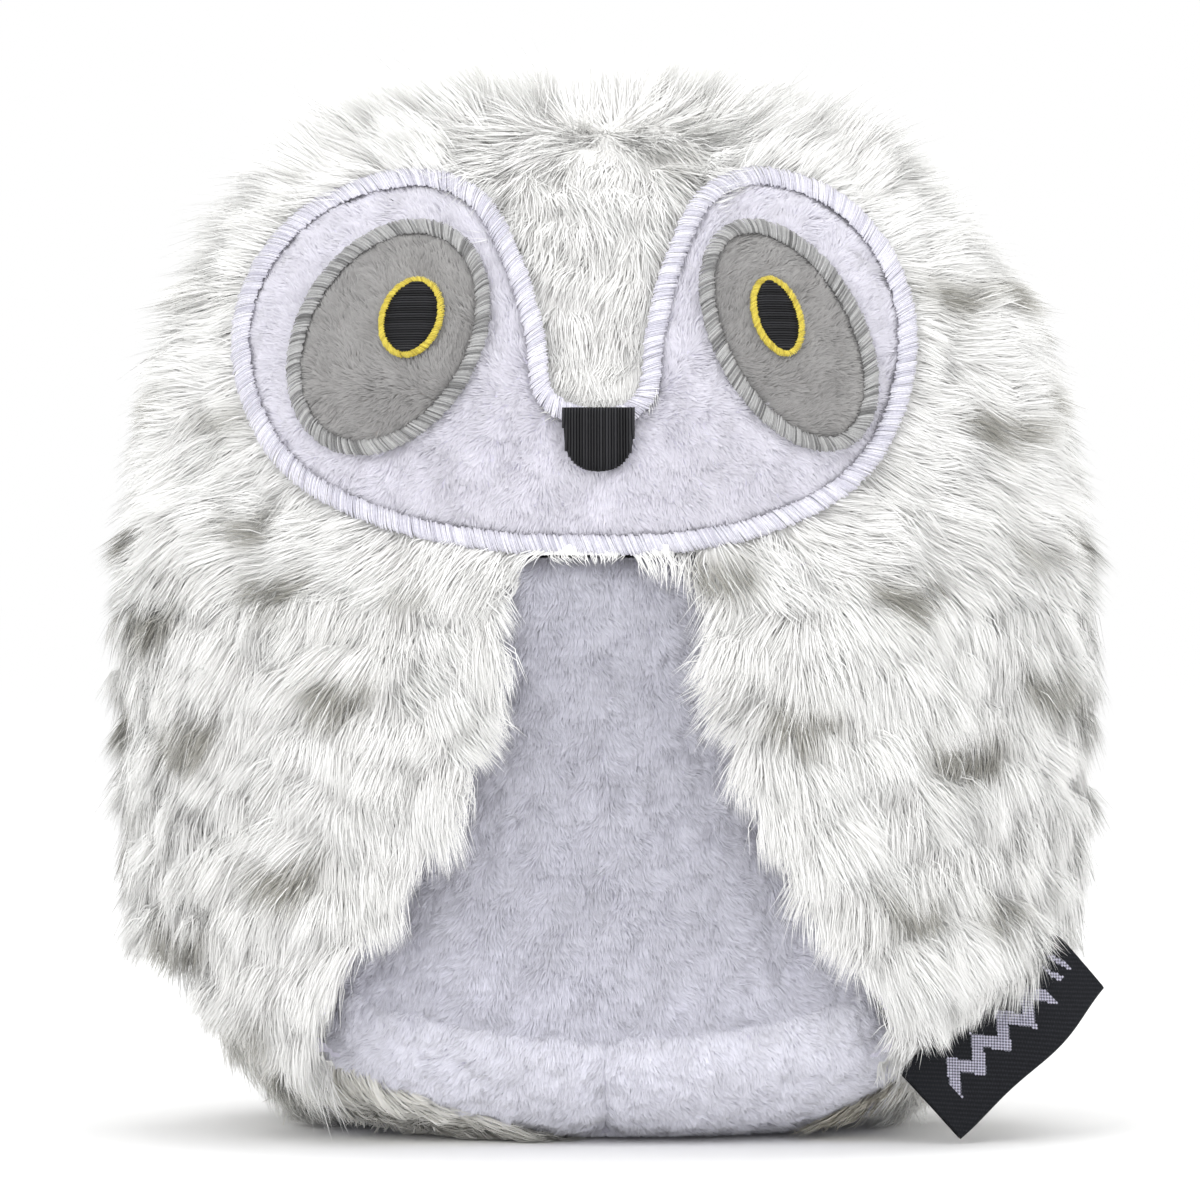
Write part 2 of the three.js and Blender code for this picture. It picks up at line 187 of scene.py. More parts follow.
def inside(outline, x, z):
    """Whether each point lies inside the outline."""
    x, z = np.asarray(x), np.asarray(z)
    result = np.zeros(x.shape, bool)
    for (xa, za), (xb, zb) in zip(outline, np.roll(outline, -1, axis=0)):
        crosses = (za > z) != (zb > z)
        with np.errstate(divide="ignore", invalid="ignore"):
            result ^= crosses & (x < (xb - xa) * (z - za) / (zb - za) + xa)
    return result


def edge_distance(outline, x, z):
    """How far each point is from the outline."""
    p = np.stack([np.ravel(x), np.ravel(z)], axis=-1)
    best = np.full(len(p), np.inf)
    for a, b in zip(outline, np.roll(outline, -1, axis=0)):
        ab = b - a
        t = np.clip((p - a) @ ab / max(ab @ ab, 1e-18), 0, 1)
        best = np.minimum(best, np.linalg.norm(p - a - t[:, None] * ab, axis=1))
    return best.reshape(np.shape(x))


FACE_X = -1 * MM  # the middle of the face
FACE_Z = 112 * MM
FACE_RIGHT = 0.86  # its right side is this much narrower than its left
STITCH = 2.9 * MM
FACE_HALF = [(15, 88.6), (30, 91.5), (44, 98), (52, 108), (55, 121), (51.5, 133), (42, 142.5), (28, 146.3),
             (17.5, 142.5), (11.5, 132.5), (8, 121), (6.5, 112)]


def face_outline():
    right = [(FACE_X / MM + x * FACE_RIGHT, z) for x, z in FACE_HALF]
    left = [(FACE_X / MM - x, z) for x, z in FACE_HALF][::-1]
    loop = [(FACE_X / MM, 88), *right, (FACE_X / MM, 109.5), *left, (FACE_X / MM, 88)]
    return resample(catmull(loop)[:-1] * MM, 400)


def ellipse(x, z, half_width, half_height, tilt, count=160):
    t = np.linspace(0, 2 * math.pi, count, endpoint=False)
    a, b = half_width * np.cos(t), half_height * np.sin(t)
    turned_x = x + a * math.cos(tilt) - b * math.sin(tilt)
    turned_z = z + a * math.sin(tilt) + b * math.cos(tilt)
    return np.stack([turned_x, turned_z], axis=-1) * MM


def belly_outline():
    left = bezier((-20, NECK_Z / MM - 0.3), (-22, 66), (-40, 52), (-45, 26), 24)
    low = [(-45, 26), (-34, 21.5), (-22, 18.6), (-10, 17.2), (0, 17),
           (10, 17.2), (22, 18.6), (34, 21.5), (45, 26)]
    right = [(-x, z) for x, z in left[::-1]]
    return np.array([*left, *low, *right]) * MM


FACE = face_outline()
BELLY = belly_outline()
EYES = {"left": ellipse(-32, 120.3, 13.8, 18.7, -0.52), "right": ellipse(27, 120.5, 11.2, 18.7, 0.49)}
IRISES = {"left": ellipse(-28.5, 123, 4.7, 6.2, -0.35), "right": ellipse(25.2, 123.1, 3.7, 6.2, 0.32)}
EYE_STITCH = 2.2 * MM
IRIS_STITCH = 1.3 * MM

WING_TOP = 85 * MM


def wing_outline(side):
    inner = bezier((16, 85), (14, 66), (21, 55), (29, 38))
    tip = bezier((29, 38), (33, 28), (34, 12), (42, 10))
    rest = [(42, 10), (66, 33), (90, 47), (90, 85)]
    outline = np.array([*inner, *tip, *rest]) * MM
    outline[:, 0] *= side
    return outline


def wing_rear(z):
    """How far back the wing reaches at each height."""
    return np.interp(z / MM, [0, 10, 20, 30, 48, 65, 85], [-8, 2, 7.5, 10.5, 13, 12.4, 9]) * MM


# ---------------------------------------------------------------- meshes
def new_object(name, points, faces, material, shading=None):
    """An object with smooth faces. shading gives each point's normal, so that a pile shades as one body."""
    mesh = bpy.data.meshes.new(name)
    fill_mesh(mesh, points, faces)
    mesh.polygons.foreach_set("use_smooth", np.full(len(mesh.polygons), True))
    if shading is not None:
        mesh.normals_split_custom_set_from_vertices(shading.reshape(-1, 3).astype(np.float32))
    obj = bpy.data.objects.new(name, mesh)
    bpy.context.scene.collection.objects.link(obj)
    obj.data.materials.append(material)
    return obj


def place(pieces, slot, replaced, body=None):
    """Hides the CAD node that the pieces stand for, and hangs them on the body they move with, if one is
    given. slot, their finish, is not used.
    """
    for piece in pieces:
        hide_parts(replaced)
        if body:
            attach(piece, body)


def paint(obj, colors, count, domain="POINT"):
    """Stores colours in the attribute tint: count of them for each strand, thread or face."""
    rgba = np.ones((len(colors), count, 4), np.float32)
    rgba[..., :3] = colors
    attribute = obj.data.color_attributes.new("tint", "FLOAT_COLOR", domain)
    attribute.data.foreach_set("color", rgba.ravel())


def fill_mesh(mesh, points, faces):
    """Fills a mesh fast. faces is a list of index arrays, each with its own number of corners."""
    points = np.asarray(points, np.float32).reshape(-1, 3)
    groups = [np.asarray(g, np.int32) for g in faces if len(g)]
    corners = np.concatenate([g.ravel() for g in groups])
    sizes = np.concatenate([np.full(len(g), g.shape[1], np.int32) for g in groups])
    mesh.vertices.add(len(points))
    mesh.vertices.foreach_set("co", points.ravel())
    mesh.loops.add(len(corners))
    mesh.loops.foreach_set("vertex_index", corners)
    mesh.polygons.add(len(sizes))
    mesh.polygons.foreach_set("loop_start", np.concatenate([[0], np.cumsum(sizes)[:-1]]).astype(np.int32))
    mesh.update(calc_edges=True)
    mesh.validate()


def grid_quads(rows, columns):
    """The quads of a grid of points that are stored row by row."""
    i, j = (g.ravel() for g in np.meshgrid(np.arange(rows - 1), np.arange(columns - 1), indexing="ij"))
    first = i * columns + j
    return np.stack([first, first + columns, first + columns + 1, first + 1], axis=-1)


def used_only(points, faces):
    """Drops the points that no face uses."""
    used, back = np.unique(faces, return_inverse=True)
    return points[used], back.reshape(faces.shape)


def body_sheet(keep, out, around_steps=220, up_steps=150, span=(-math.pi, math.pi), rise=(0.0, 1.0)):
    """Points and quads of the part of the body's surface where keep(points) is true, moved out by out."""
    a = np.linspace(*span, around_steps)
    v = np.linspace(*rise, up_steps)
    grid_a, grid_v = np.meshgrid(a, v, indexing="ij")
    flat, _ = body_surface(grid_a, grid_v)
    moved, _ = body_surface(grid_a, grid_v, out(flat) if callable(out) else out)
    middle = (flat[:-1, :-1] + flat[1:, :-1] + flat[1:, 1:] + flat[:-1, 1:]) / 4
    return used_only(moved.reshape(-1, 3), grid_quads(around_steps, up_steps)[keep(middle).ravel()])


def waves(p, size, seed):
    """A smooth noise from about -1 to 1, with features about as wide as size."""
    rng = np.random.default_rng(seed)
    total = np.zeros(p.shape[:-1])
    for _ in range(6):
        pitch = size / rng.uniform(0.6, 1.5)
        total += np.sin(p @ unit(rng.normal(size=3)) * 2 * math.pi / pitch + rng.uniform(0, 2 * math.pi))
    return total / 2.4


def in_gusset(p):
    """Whether points lie on the base gusset: rounded and nearly square, and low on the body."""
    across = np.abs(p[..., 0]) / (47 * MM)
    deep = np.abs(p[..., 1] - Y_SHIFT + 14 * MM) / (41 * MM)
    return (across**2.6 + deep**2.6 < 1) & (p[..., 2] < 24 * MM)


def in_front(outline, p):
    return (p[..., 1] < Y_SHIFT) & inside(outline, p[..., 0], p[..., 2])


NECK_LAP = 4.5 * MM  # how far the head's fur cloth reaches down over the wings' tops


def on_head_front(p):
    x, y, z = p[..., 0], p[..., 1], p[..., 2]
    lap = (z > NECK_Z - NECK_LAP) & (np.abs(x) > 13 * MM)
    return ((z > NECK_Z) | lap) & (y < SEAM_Y) & ~in_front(inset(FACE, 1.6 * MM), p)


def on_back(p):
    return (p[..., 1] >= SEAM_Y) & ~in_gusset(p)


def on_side(p, side):
    outside = ~in_front(BELLY, p) & ~in_gusset(p) & ~in_front(FACE, p)
    return (p[..., 2] <= NECK_Z) & (p[..., 1] < SEAM_Y) & outside & (p[..., 0] * side > 0)


# ---------------------------------------------------------------- materials
def material(name, color, roughness, **sockets):
    """A Principled material; the builder of each look links its own nodes to it."""
    mat = bpy.data.materials.new(name)
    mat.use_nodes = True
    shader = mat.node_tree.nodes["Principled BSDF"]
    shader.inputs["Base Color"].default_value = (*color, 1)
    shader.inputs["Roughness"].default_value = roughness
    for key, value in sockets.items():
        shader.inputs[key.replace("_", " ")].default_value = value
    return mat, mat.node_tree, shader


def node(tree, kind, **settings):
    made = tree.nodes.new(kind)
    for key, value in settings.items():
        setattr(made, key, value)
    return made


def noise(tree, scale, detail=2.0):
    """A noise in the object's own space, in features per metre."""
    place = node(tree, "ShaderNodeTexCoord")
    made = node(tree, "ShaderNodeTexNoise")
    made.inputs["Scale"].default_value = scale
    made.inputs["Detail"].default_value = detail
    tree.links.new(place.outputs["Object"], made.inputs["Vector"])
    return made.outputs["Fac"]


def ramp(tree, source, stops):
    made = node(tree, "ShaderNodeValToRGB")
    elements = made.color_ramp.elements
    while len(elements) < len(stops):
        elements.new(0.5)
    for element, (place, color) in zip(elements, stops):
        element.position = place
        element.color = (*color, 1)
    tree.links.new(source, made.inputs["Fac"])
    return made.outputs["Color"]


def multiply(tree, a, b):
    made = node(tree, "ShaderNodeMix", data_type="RGBA", blend_type="MULTIPLY")
    made.inputs["Factor"].default_value = 1.0
    tree.links.new(a, made.inputs["A"])
    tree.links.new(b, made.inputs["B"])
    return made.outputs["Result"]


def bump(tree, shader, scale, detail, strength, distance):
    made = node(tree, "ShaderNodeBump")
    made.inputs["Strength"].default_value = strength
    made.inputs["Distance"].default_value = distance
    tree.links.new(noise(tree, scale, detail), made.inputs["Height"])
    tree.links.new(made.outputs["Normal"], shader.inputs["Normal"])


def tinted_material(name, roughness, scale, low, span=(0.35, 0.65), detail=2.0, bumps=None, **sockets):
    """Each strand or thread carries its own colour in the attribute tint, and a noise varies it a little."""
    mat, tree, shader = material(name, (0.8, 0.8, 0.8), roughness, **sockets)
    tint = node(tree, "ShaderNodeAttribute", attribute_name="tint")
    shade = ramp(tree, noise(tree, scale, detail), [(span[0], low), (span[1], (1, 1, 1))])
    tree.links.new(multiply(tree, tint.outputs["Color"], shade), shader.inputs["Base Color"])
    if bumps:
        bump(tree, shader, *bumps)
    return mat


def mottled_material(name, low, high, scale, bumps, roughness=0.9, span=(0.35, 0.65), **sockets):
    """A colour that wanders between two shades. bumps: a noise's scale and detail, its strength and depth."""
    mat, tree, shader = material(name, high, roughness, **sockets)
    shade = ramp(tree, noise(tree, scale), [(span[0], low), (span[1], high)])
    tree.links.new(shade, shader.inputs["Base Color"])
    if bumps:
        bump(tree, shader, *bumps)
    return mat


def cloth_material(name, low, high, scale, bump_scale, strength):
    return mottled_material(name, low, high, scale, (bump_scale, 3.0, strength, 0.4 * MM), Sheen_Weight=0.3,
                            Specular_IOR_Level=0.2)


def pile_material(name, roughness, sheen):
    return tinted_material(name, roughness, 90.0, (0.97, 0.97, 0.965), span=(0.3, 0.7), Sheen_Weight=sheen,
                           Specular_IOR_Level=0.25)


def thread_material(name, roughness, sheen, specular):
    return tinted_material(name, roughness, 2500.0, (0.86, 0.86, 0.86), bumps=(5000.0, 1.0, 0.25, 0.1 * MM),
                           Sheen_Weight=sheen, Specular_IOR_Level=specular)


FUR_PILE = pile_material("fur_pile", 0.62, 0.2)
PLUSH_PILE = pile_material("plush_pile", 0.7, 0.45)
UNDERCOAT = cloth_material("fur_undercoat", (0.86, 0.855, 0.84), (0.92, 0.915, 0.9), 300, 1500, 0.5)
LAVENDER = cloth_material("lavender_ground", (0.62, 0.60, 0.72), (0.72, 0.70, 0.81), 160, 1400, 0.5)
FACE_GROUND = cloth_material("face_ground", (0.72, 0.70, 0.84), (0.80, 0.78, 0.90), 160, 1400, 0.5)
GREY = cloth_material("grey_ground", (0.26, 0.245, 0.235), (0.36, 0.34, 0.33), 200, 1400, 0.5)
PALE_THREAD = thread_material("pale_thread", 0.42, 0.1, 0.5)
BLACK_THREAD = thread_material("black_thread", 0.45, 0.0, 0.25)
LAVENDER_SHADES = ((0.56, 0.55, 0.64), (0.86, 0.85, 0.92))
GREY_SHADES = ((0.12, 0.12, 0.12), (0.52, 0.52, 0.52))
YELLOW_SHADES = ((0.48, 0.37, 0.03), (0.76, 0.63, 0.08))
BLACK_SHADES = ((0.004, 0.004, 0.005), (0.022, 0.022, 0.025))
BLACK_CLOTH = cloth_material("black_cloth", (0.004, 0.004, 0.005), (0.012, 0.012, 0.014), 400, 3000, 0.5)
FILLING = cloth_material("filling_fibre", (0.80, 0.80, 0.78), (0.92, 0.92, 0.90), 120, 700, 0.9)
FELT = cloth_material("felt", (0.60, 0.58, 0.53), (0.74, 0.72, 0.67), 250, 1800, 0.6)
PLASTIC = mottled_material("squeaker_plastic", (0.78, 0.78, 0.75), (0.85, 0.85, 0.82), 60, None,
                           roughness=0.42, span=(0.3, 0.7))
FILM = mottled_material("crinkle_film", (0.55, 0.61, 0.65), (0.70, 0.75, 0.79), 140,
                        (260, 4.0, 0.8, 0.6 * MM), 0.22,
                        (0.3, 0.7))


# ---------------------------------------------------------------- strands
def triangles_of(faces):
    if faces.shape[1] == 3:
        return faces
    return np.concatenate([faces[:, [0, 1, 2]], faces[:, [0, 2, 3]]])


def point_normals(points, triangles):
    a, b, c = (points[triangles[:, k]] for k in range(3))
    face = np.cross(b - a, c - a)
    normals = np.zeros_like(points)
    for k in range(3):
        np.add.at(normals, triangles[:, k], face)
    return unit(normals)


def scatter(points, faces, per_mm2, rng):
    """(places, normals) spread evenly over a surface."""
    triangles = triangles_of(faces)
    normals = point_normals(points, triangles)
    a, b, c = (points[triangles[:, k]] for k in range(3))
    areas = np.linalg.norm(np.cross(b - a, c - a), axis=1) / 2
    count = int(areas.sum() / MM**2 * per_mm2)
    chosen = rng.choice(len(triangles), count, p=areas / areas.sum())
    s, t = rng.random((2, count))
    flip = s + t > 1
    s[flip], t[flip] = 1 - s[flip], 1 - t[flip]
    weights = np.stack([1 - s - t, s, t], axis=-1)[..., None]
    corners = triangles[chosen]
    return (points[corners] * weights).sum(axis=1), unit((normals[corners] * weights).sum(axis=1))


def turned(v, axis, angle):
    """Each vector turned about its axis."""
    c, s = np.cos(angle)[:, None], np.sin(angle)[:, None]
    return v * c + np.cross(axis, v) * s + axis * (axis * v).sum(1, keepdims=True) * (1 - c)


def paths(roots, normals, flow, length, lift, droop, segments):
    """Each strand's points: it leaves the surface at the angle lift and ends at the angle droop."""
    points = [roots]
    for k in range(segments):
        share = (k + 0.5) / segments
        angle = (lift * (1 - share) + droop * share)[:, None]
        step = np.cos(angle) * flow + np.sin(angle) * normals
        points.append(points[-1] + step * (length / segments)[:, None])
    return np.stack(points, axis=1)


def nearest(places, centres):
    tree = KDTree(len(centres))
    for i, place in enumerate(centres):
        tree.insert(place, i)
    tree.balance()
    return np.array([tree.find(place)[1] for place in places])


def strands(name, ground, per_mm2, flow_of, tint_of, mat, seed, *, length, lift, droop, width, lock=4 * MM,
            pull=0.42, stray=0.28, wander=0.4, swirl=14 * MM, segments=3, soft=0.8):
    """A pile of tapered blades grown from the ground, which is (points, faces).

    flow_of(places, normals) gives the way the pile lies, and tint_of(points, level, rng) each point's colour.
    Length, lift and droop may be functions of the places. The way the pile lies wanders over a distance of
    swirl, strays from blade to blade, and the blades gather in locks. soft is how far they shade as one
    surface."""
    rng = np.random.default_rng(seed)
    roots, normals = scatter(*ground, per_mm2, rng)
    count = len(roots)

    def at_roots(value):
        return value(roots) if callable(value) else np.full(count, float(value))

    flow = flow_of(roots, normals)
    flow = unit(flow - normals * (flow * normals).sum(1, keepdims=True))
    flow = turned(flow, normals, wander * waves(roots, swirl, seed + 1) + rng.normal(0, stray, count))
    rise = 0.16 * waves(roots, swirl * 0.7, seed + 2) + rng.normal(0, 0.1, count)
    long = at_roots(length) * (1 + 0.12 * waves(roots, swirl * 0.5, seed + 3)) * rng.uniform(0.65, 1.1, count)
    points = paths(roots, normals, flow, long, at_roots(lift) + rise, at_roots(droop) + rise, segments)
    rounded = np.zeros_like(roots)
    if pull:
        share = np.linspace(0, 1, segments + 1)[None, :, None]
        for size, hold in ((lock * 2.4, pull * 0.5), (lock, pull)):
            chosen = rng.choice(count, max(4, int(count / (per_mm2 * (size / MM) ** 2))), replace=False)
            centre = chosen[nearest(roots, roots[chosen])]
            grip = hold * rng.uniform(0.5, 1.1, count)[:, None, None] * share**1.5
            points = points + (points[centre] - points) * grip
            rounded += (roots - roots[centre]) / size
    points[..., 2] = np.maximum(points[..., 2], 0.3 * MM)
    return blades(name, points, normals, rounded, width, tint_of, mat, rng, soft)


def blades(name, points, normals, rounded, width, tint_of, mat, rng, soft):
    """One mesh of tapered ribbons along the paths, their broad sides turned out."""
    count, steps = points.shape[:2]
    segments = steps - 1
    ahead = unit(points[:, -1] - points[:, 0])
    face = turned(normals, ahead, rng.normal(0, 0.5, count))
    side = unit(np.cross(ahead, face))
    share = np.linspace(0, 1, steps)
    wide = width * rng.uniform(0.7, 1.3, count)
    rows = []
    for k in range(segments):
        half = (side * wide[:, None]) * (0.5 * (1 - 0.75 * share[k] ** 1.3))
        rows += [points[:, k] - half, points[:, k] + half]
    rows.append(points[:, segments])
    vertices = np.stack(rows, axis=1)
    per = 2 * segments + 1
    base = (np.arange(count) * per)[:, None]
    quads = [base + np.array([2 * k, 2 * k + 1, 2 * k + 3, 2 * k + 2]) for k in range(segments - 1)]
    tips = base + np.array([2 * segments - 2, 2 * segments - 1, 2 * segments])
    quads = np.stack(quads, axis=1).reshape(-1, 4) if segments > 1 else np.zeros((0, 4), int)
    upright = np.clip((ahead * normals).sum(1, keepdims=True), 0, 1)
    hold = soft * (1 - upright**3)
    shading = unit(normals * hold + unit(np.cross(side, ahead)) * (1 - hold) + rounded * 0.4)
    obj = new_object(name, vertices, [quads, tips], mat, np.repeat(shading[:, None], per, axis=1))

    level = np.repeat(share[:segments], 2).tolist() + [1.0]
    paint(obj, tint_of(points, np.array(level), rng), per)
    own_map(obj, count, segments)
    return obj


def own_map(obj, count, segments):
    """A map with a cell for each blade, its root at the cell's foot, so that a bake keeps its colours."""
    across = math.ceil(math.sqrt(count))
    cell = 1 / across
    index = np.arange(count)
    left, low = (index % across) * cell, (index // across) * cell
    margin = 0.15 * cell
    x0, x1, xm = left + margin, left + cell - margin, left + cell / 2
    rows = [low + margin + (cell - 2 * margin) * k / segments for k in range(segments + 1)]
    quads = [np.stack([x0, a, x1, a, x1, b, x0, b], axis=-1) for a, b in zip(rows[:-2], rows[1:-1])]
    tips = np.stack([x0, rows[-2], x1, rows[-2], xm, rows[-1]], axis=-1)
    quads = np.stack(quads, axis=1).ravel() if segments > 1 else np.zeros(0)
    layer = obj.data.uv_layers.new(name="OFBake")
    layer.data.foreach_set("uv", np.concatenate([quads, tips.ravel()]).astype(np.float32))


# ---------------------------------------------------------------- colours of the pile
WHITE = np.array([0.955, 0.953, 0.942])
ROOT = np.array([0.925, 0.92, 0.91])
FLECK = np.array([0.30, 0.29, 0.255])

# the flecks seen from the front: across and up in mm, half width, and strength
FLECKS = [
    (-55, 92, 5, 0.7), (-51, 82, 5, 1), (-70, 76, 5, 1), (-40, 65, 6, 1), (-64, 58, 5, 1), (-48, 38, 6, 1),
    (-65, 27, 5, 1), (-55, 14, 5, 0.6), (-30, 80, 4, 0.5), (18, 83, 5, 1), (46, 81, 6, 1), (29, 61, 6, 1),
    (54, 56, 6, 1), (46, 33, 5, 1), (61, 33, 4, 0.7), (68, 66, 5, 0.8), (67, 87, 4, 0.6), (11, 147, 5, 0.3),
    (55, 127, 6, 0.8), (62, 106, 6, 1), (-60, 108, 4, 0.5),
]


def fleck(dx, dz, half):
    """How much of a fleck lies at each point round its middle, in mm: a soft v, open upwards."""
    arm = dz - 0.42 * np.abs(dx) + 1.2
    return np.exp(-((arm / 2.6) ** 2)) * np.exp(-((dx / half) ** 4))


def front_flecks(p):
    x, z = p[..., 0] / MM, p[..., 2] / MM
    share = np.zeros(p.shape[:-1])
    for fx, fz, half, strength in FLECKS:
        share = np.maximum(share, strength * fleck(x - fx, z - fz, half))
    return share


def flecks(p):
    """The placed flecks in front, and scattered ones at the sides and behind."""
    bare = fade(p[..., 2], 128 * MM, 140 * MM) * (p[..., 1] < SEAM_Y)
    return np.where(p[..., 1] < -18 * MM, front_flecks(p), scattered_flecks(p) * (1 - bare))


def scattered_flecks(p, spacing=21 * MM):
    """The same flecks in a loose diagonal order, by height and by the way round the body."""
    around = np.arctan2(p[..., 0], p[..., 1] - Y_SHIFT) * WIDEST
    row = np.floor(p[..., 2] / (spacing * 0.8))
    x = around + (row % 2) * spacing / 2 + 3.5 * MM * np.sin(row * 2.4)
    column = np.floor(x / spacing)
    dx = (x - (column + 0.5) * spacing) / MM + 4.5 * np.sin(column * 5.1 + row * 3.3)
    dz = (p[..., 2] - (row + 0.5) * spacing * 0.8) / MM + 3.5 * np.cos(column * 3.7 + row * 1.9)
    return fleck(dx, dz, 5.5)


def fur_tint(fleck_of, warm=0.0):
    """The colours of white fur whose flecks are where fleck_of(points) says."""
    def tint(points, level, rng):
        count = len(points)
        at = points[:, -2] * 0.35 + points[:, -1] * 0.65
        share = np.clip(fleck_of(at) * 1.3, 0, 1) * (rng.random(count) < 0.9)
        level = level[None, :, None]
        tone = rng.uniform(0.95, 1.0, count)[:, None, None]
        white = ROOT + (WHITE - ROOT) * np.clip(level * 2.2, 0, 1)
        white = white * (1 - warm * np.array([0.0, 0.01, 0.05]) * rng.random(count)[:, None, None])
        amount = np.clip(share, 0, 0.9)[:, None, None] * np.clip((level - 0.1) * 3, 0, 1)
        return (white + (FLECK - white) * amount) * tone
    return tint


def plush_tint(low, high, ribs=0.0):
    """Short pile, darker at the root, painted lighter low down where the underside lies in shade, and with
    streaks of painted light and shade where the nap would catch the light another way. ribs is how strongly
    the knitted rows show."""
    low, high = np.array(low), np.array(high)

    def tint(points, level, rng):
        count = len(points)
        roots = points[:, 0]
        # painted light and shade: soft streaks that stand for the nap catching the light another way
        painted_nap_streaks = waves(roots * np.array([1, 1, 0.45]), 7 * MM, 5) + 0.6 * waves(roots, 2.2 * MM, 6)
        row = np.sin(2 * math.pi * points[:, -1, 2] / (1.35 * MM) + 1.6 * waves(roots, 12 * MM, 8))
        tone = (1 + 0.03 * painted_nap_streaks + ribs * row + rng.uniform(-0.06, 0.035, count))[:, None, None]
        share = np.clip(level[None, :, None] * 1.3, 0, 1)
        # painted light: the pile is made lighter towards the base, where it lies in shade
        tone = tone * (1 + 0.22 * fade(roots[:, 2], 36 * MM, 14 * MM))[:, None, None]
        return (low + (high - low) * share) * tone
    return tint


# ---------------------------------------------------------------- the way the pile lies
def down_and_out(p, n):
    """Down the body, a little outwards from its middle."""
    return vectors(0.25 * np.sign(p[:, 0]) * fade(np.abs(p[:, 0]), 0, 40 * MM), 0, -1)


def under_the_base(p, n):
    """As the flanks lie, but low down the fur turns in under the base."""
    low = (fade(p[:, 2], 13 * MM, 7 * MM) * (p[:, 1] < -20 * MM))[:, None]
    return down_and_out(p, n) * (1 - low) + vectors(-np.sign(p[:, 0]), -0.8, -0.35) * low


def wedge_share(p):
    """1 in the wedge of fur between the eyes, fading out round it and on top of the head."""
    half = np.interp(p[:, 2] / MM, [108, 125, 140, 153], [7, 9, 12, 19]) * MM
    across = np.clip(1.6 - np.abs(p[:, 0] - FACE_X) / half, 0, 1)
    return across * fade(p[:, 1], -14 * MM, -22 * MM)


def crown_share(p):
    """1 on top of the head, fading out towards the face, the cheeks and the back seam."""
    return fade(p[:, 2], 140 * MM, 150 * MM) * fade(p[:, 1], SEAM_Y, SEAM_Y - 16 * MM)


def neck_share(z, over):
    """1 along the head's lower edge, fading out over a height above it."""
    return fade(z, NECK_Z - NECK_LAP + over, NECK_Z - NECK_LAP)


def head_flow(p, n):
    """Away from the face all round, down in the wedge, and back over the crown."""
    dx, dz = p[:, 0] - FACE_X, p[:, 2] - FACE_Z
    away = unit(vectors(dx, 0, dz * 0.75)) + np.array([0, 0.5, -0.55])
    crown = fade(p[:, 2], 146 * MM, 154 * MM)[:, None]
    away = away * (1 - crown) + vectors(dx / (25 * MM), 0.7, 0) * crown
    neck = neck_share(p[:, 2], 16 * MM)[:, None]
    away = away * (1 - neck) + vectors(0.25 * np.sign(dx), 0, -1) * neck
    wedge = wedge_share(p)[:, None]
    return away * (1 - wedge) + vectors(0.025 * dx / MM, -0.3, -1) * wedge


def head_length(p):
    """Short at the beak and round the face, long on the crown and at the left brow."""
    x, y, z = p.T
    wedge = wedge_share(p)
    near_beak = np.interp(z / MM, [107, 113, 124, 140], [0.26, 0.42, 0.75, 1.0])
    rim = np.interp(edge_distance(FACE, x, z), [0, 7 * MM], [0.6, 1.0])
    rim = np.maximum(rim, fade(z, 93 * MM, 90 * MM))
    front = fade(y, -12 * MM, -20 * MM) * (1 - wedge)
    left_brow = fade(x, -12 * MM, -30 * MM) * fade(z, 122 * MM, 137 * MM)
    full = 11.5 - 2.5 * neck_share(z, 10 * MM) + 3.2 * crown_share(p) * (1 - wedge) + 5 * left_brow
    return full * MM * (1 - wedge * (1 - near_beak)) * (1 - front * (1 - rim))


def standing(most, least):
    """The pile stands up on the crown, less on the cheeks, and lies down in the wedge and at the neck."""
    def angle(p):
        up = most + 0.4 * crown_share(p)
        low = least * np.interp(p[:, 2] / MM, [136, 148], [1, 0.35])
        return up - (up - low) * np.maximum(wedge_share(p), neck_share(p[:, 2], 12 * MM))
    return angle


def wing_inner(z):
    """How far from the middle the wing's inner edge is at each height."""
    return np.interp(z / MM, [10, 38, 50, 66, 85], [38, 29, 22.5, 16, 15.5]) * MM


def wing_length(p):
    """Shorter at the right hem, where the label comes out."""
    at_label = fade(p[:, 2], 30 * MM, 22 * MM) * (p[:, 0] > 34 * MM) * (p[:, 1] < -20 * MM)
    return (11.5 - 4.5 * at_label) * MM


def wing_flow(side):
    """Down the wing, and inwards over its inner edge, most of all at the left breast."""
    def flow(p, n):
        inner = fade(np.abs(p[:, 0]) - wing_inner(p[:, 2]), 15 * MM, 0)
        bulge = np.exp(-(((p[:, 2] - 74 * MM) / (14 * MM)) ** 2)) * (1.3 if side < 0 else 0.5)
        return vectors(side * (0.28 - (0.9 + bulge) * inner), 0, -1)
    return flow


# ---------------------------------------------------------------- fur pieces
FUR_DEEP = -4 * MM  # the undercoat, under the CAD's outer surface
SPARSE = 1.0


def lumpy(level, seed):
    """How far the undercoat stands out: level, or a function of the places, with soft lumps."""
    def out(p):
        base = level(p) if callable(level) else level
        return base + 0.6 * MM * waves(p, 9 * MM, seed)
    return out


def head_out(p):
    """The undercoat rises at the neck and the beak, so that the fur falls over the wings and the beak."""
    beak = np.clip(1 - (p[..., 2] - 109 * MM) / (11 * MM), 0, 1) * (np.abs(p[..., 0] - FACE_X) < 10 * MM)
    near = np.clip(1 - (p[..., 2] - NECK_Z + NECK_LAP) / (15 * MM), 0, 1)
    beside = np.clip((np.abs(p[..., 0] - FACE_X) - 8 * MM) / (9 * MM), 0.4, 1)
    top = np.clip((p[..., 2] - 138 * MM) / (14 * MM), 0, 1)
    return FUR_DEEP + 7.6 * MM * near**1.3 * beside + 3.4 * MM * beak + 1.8 * MM * top


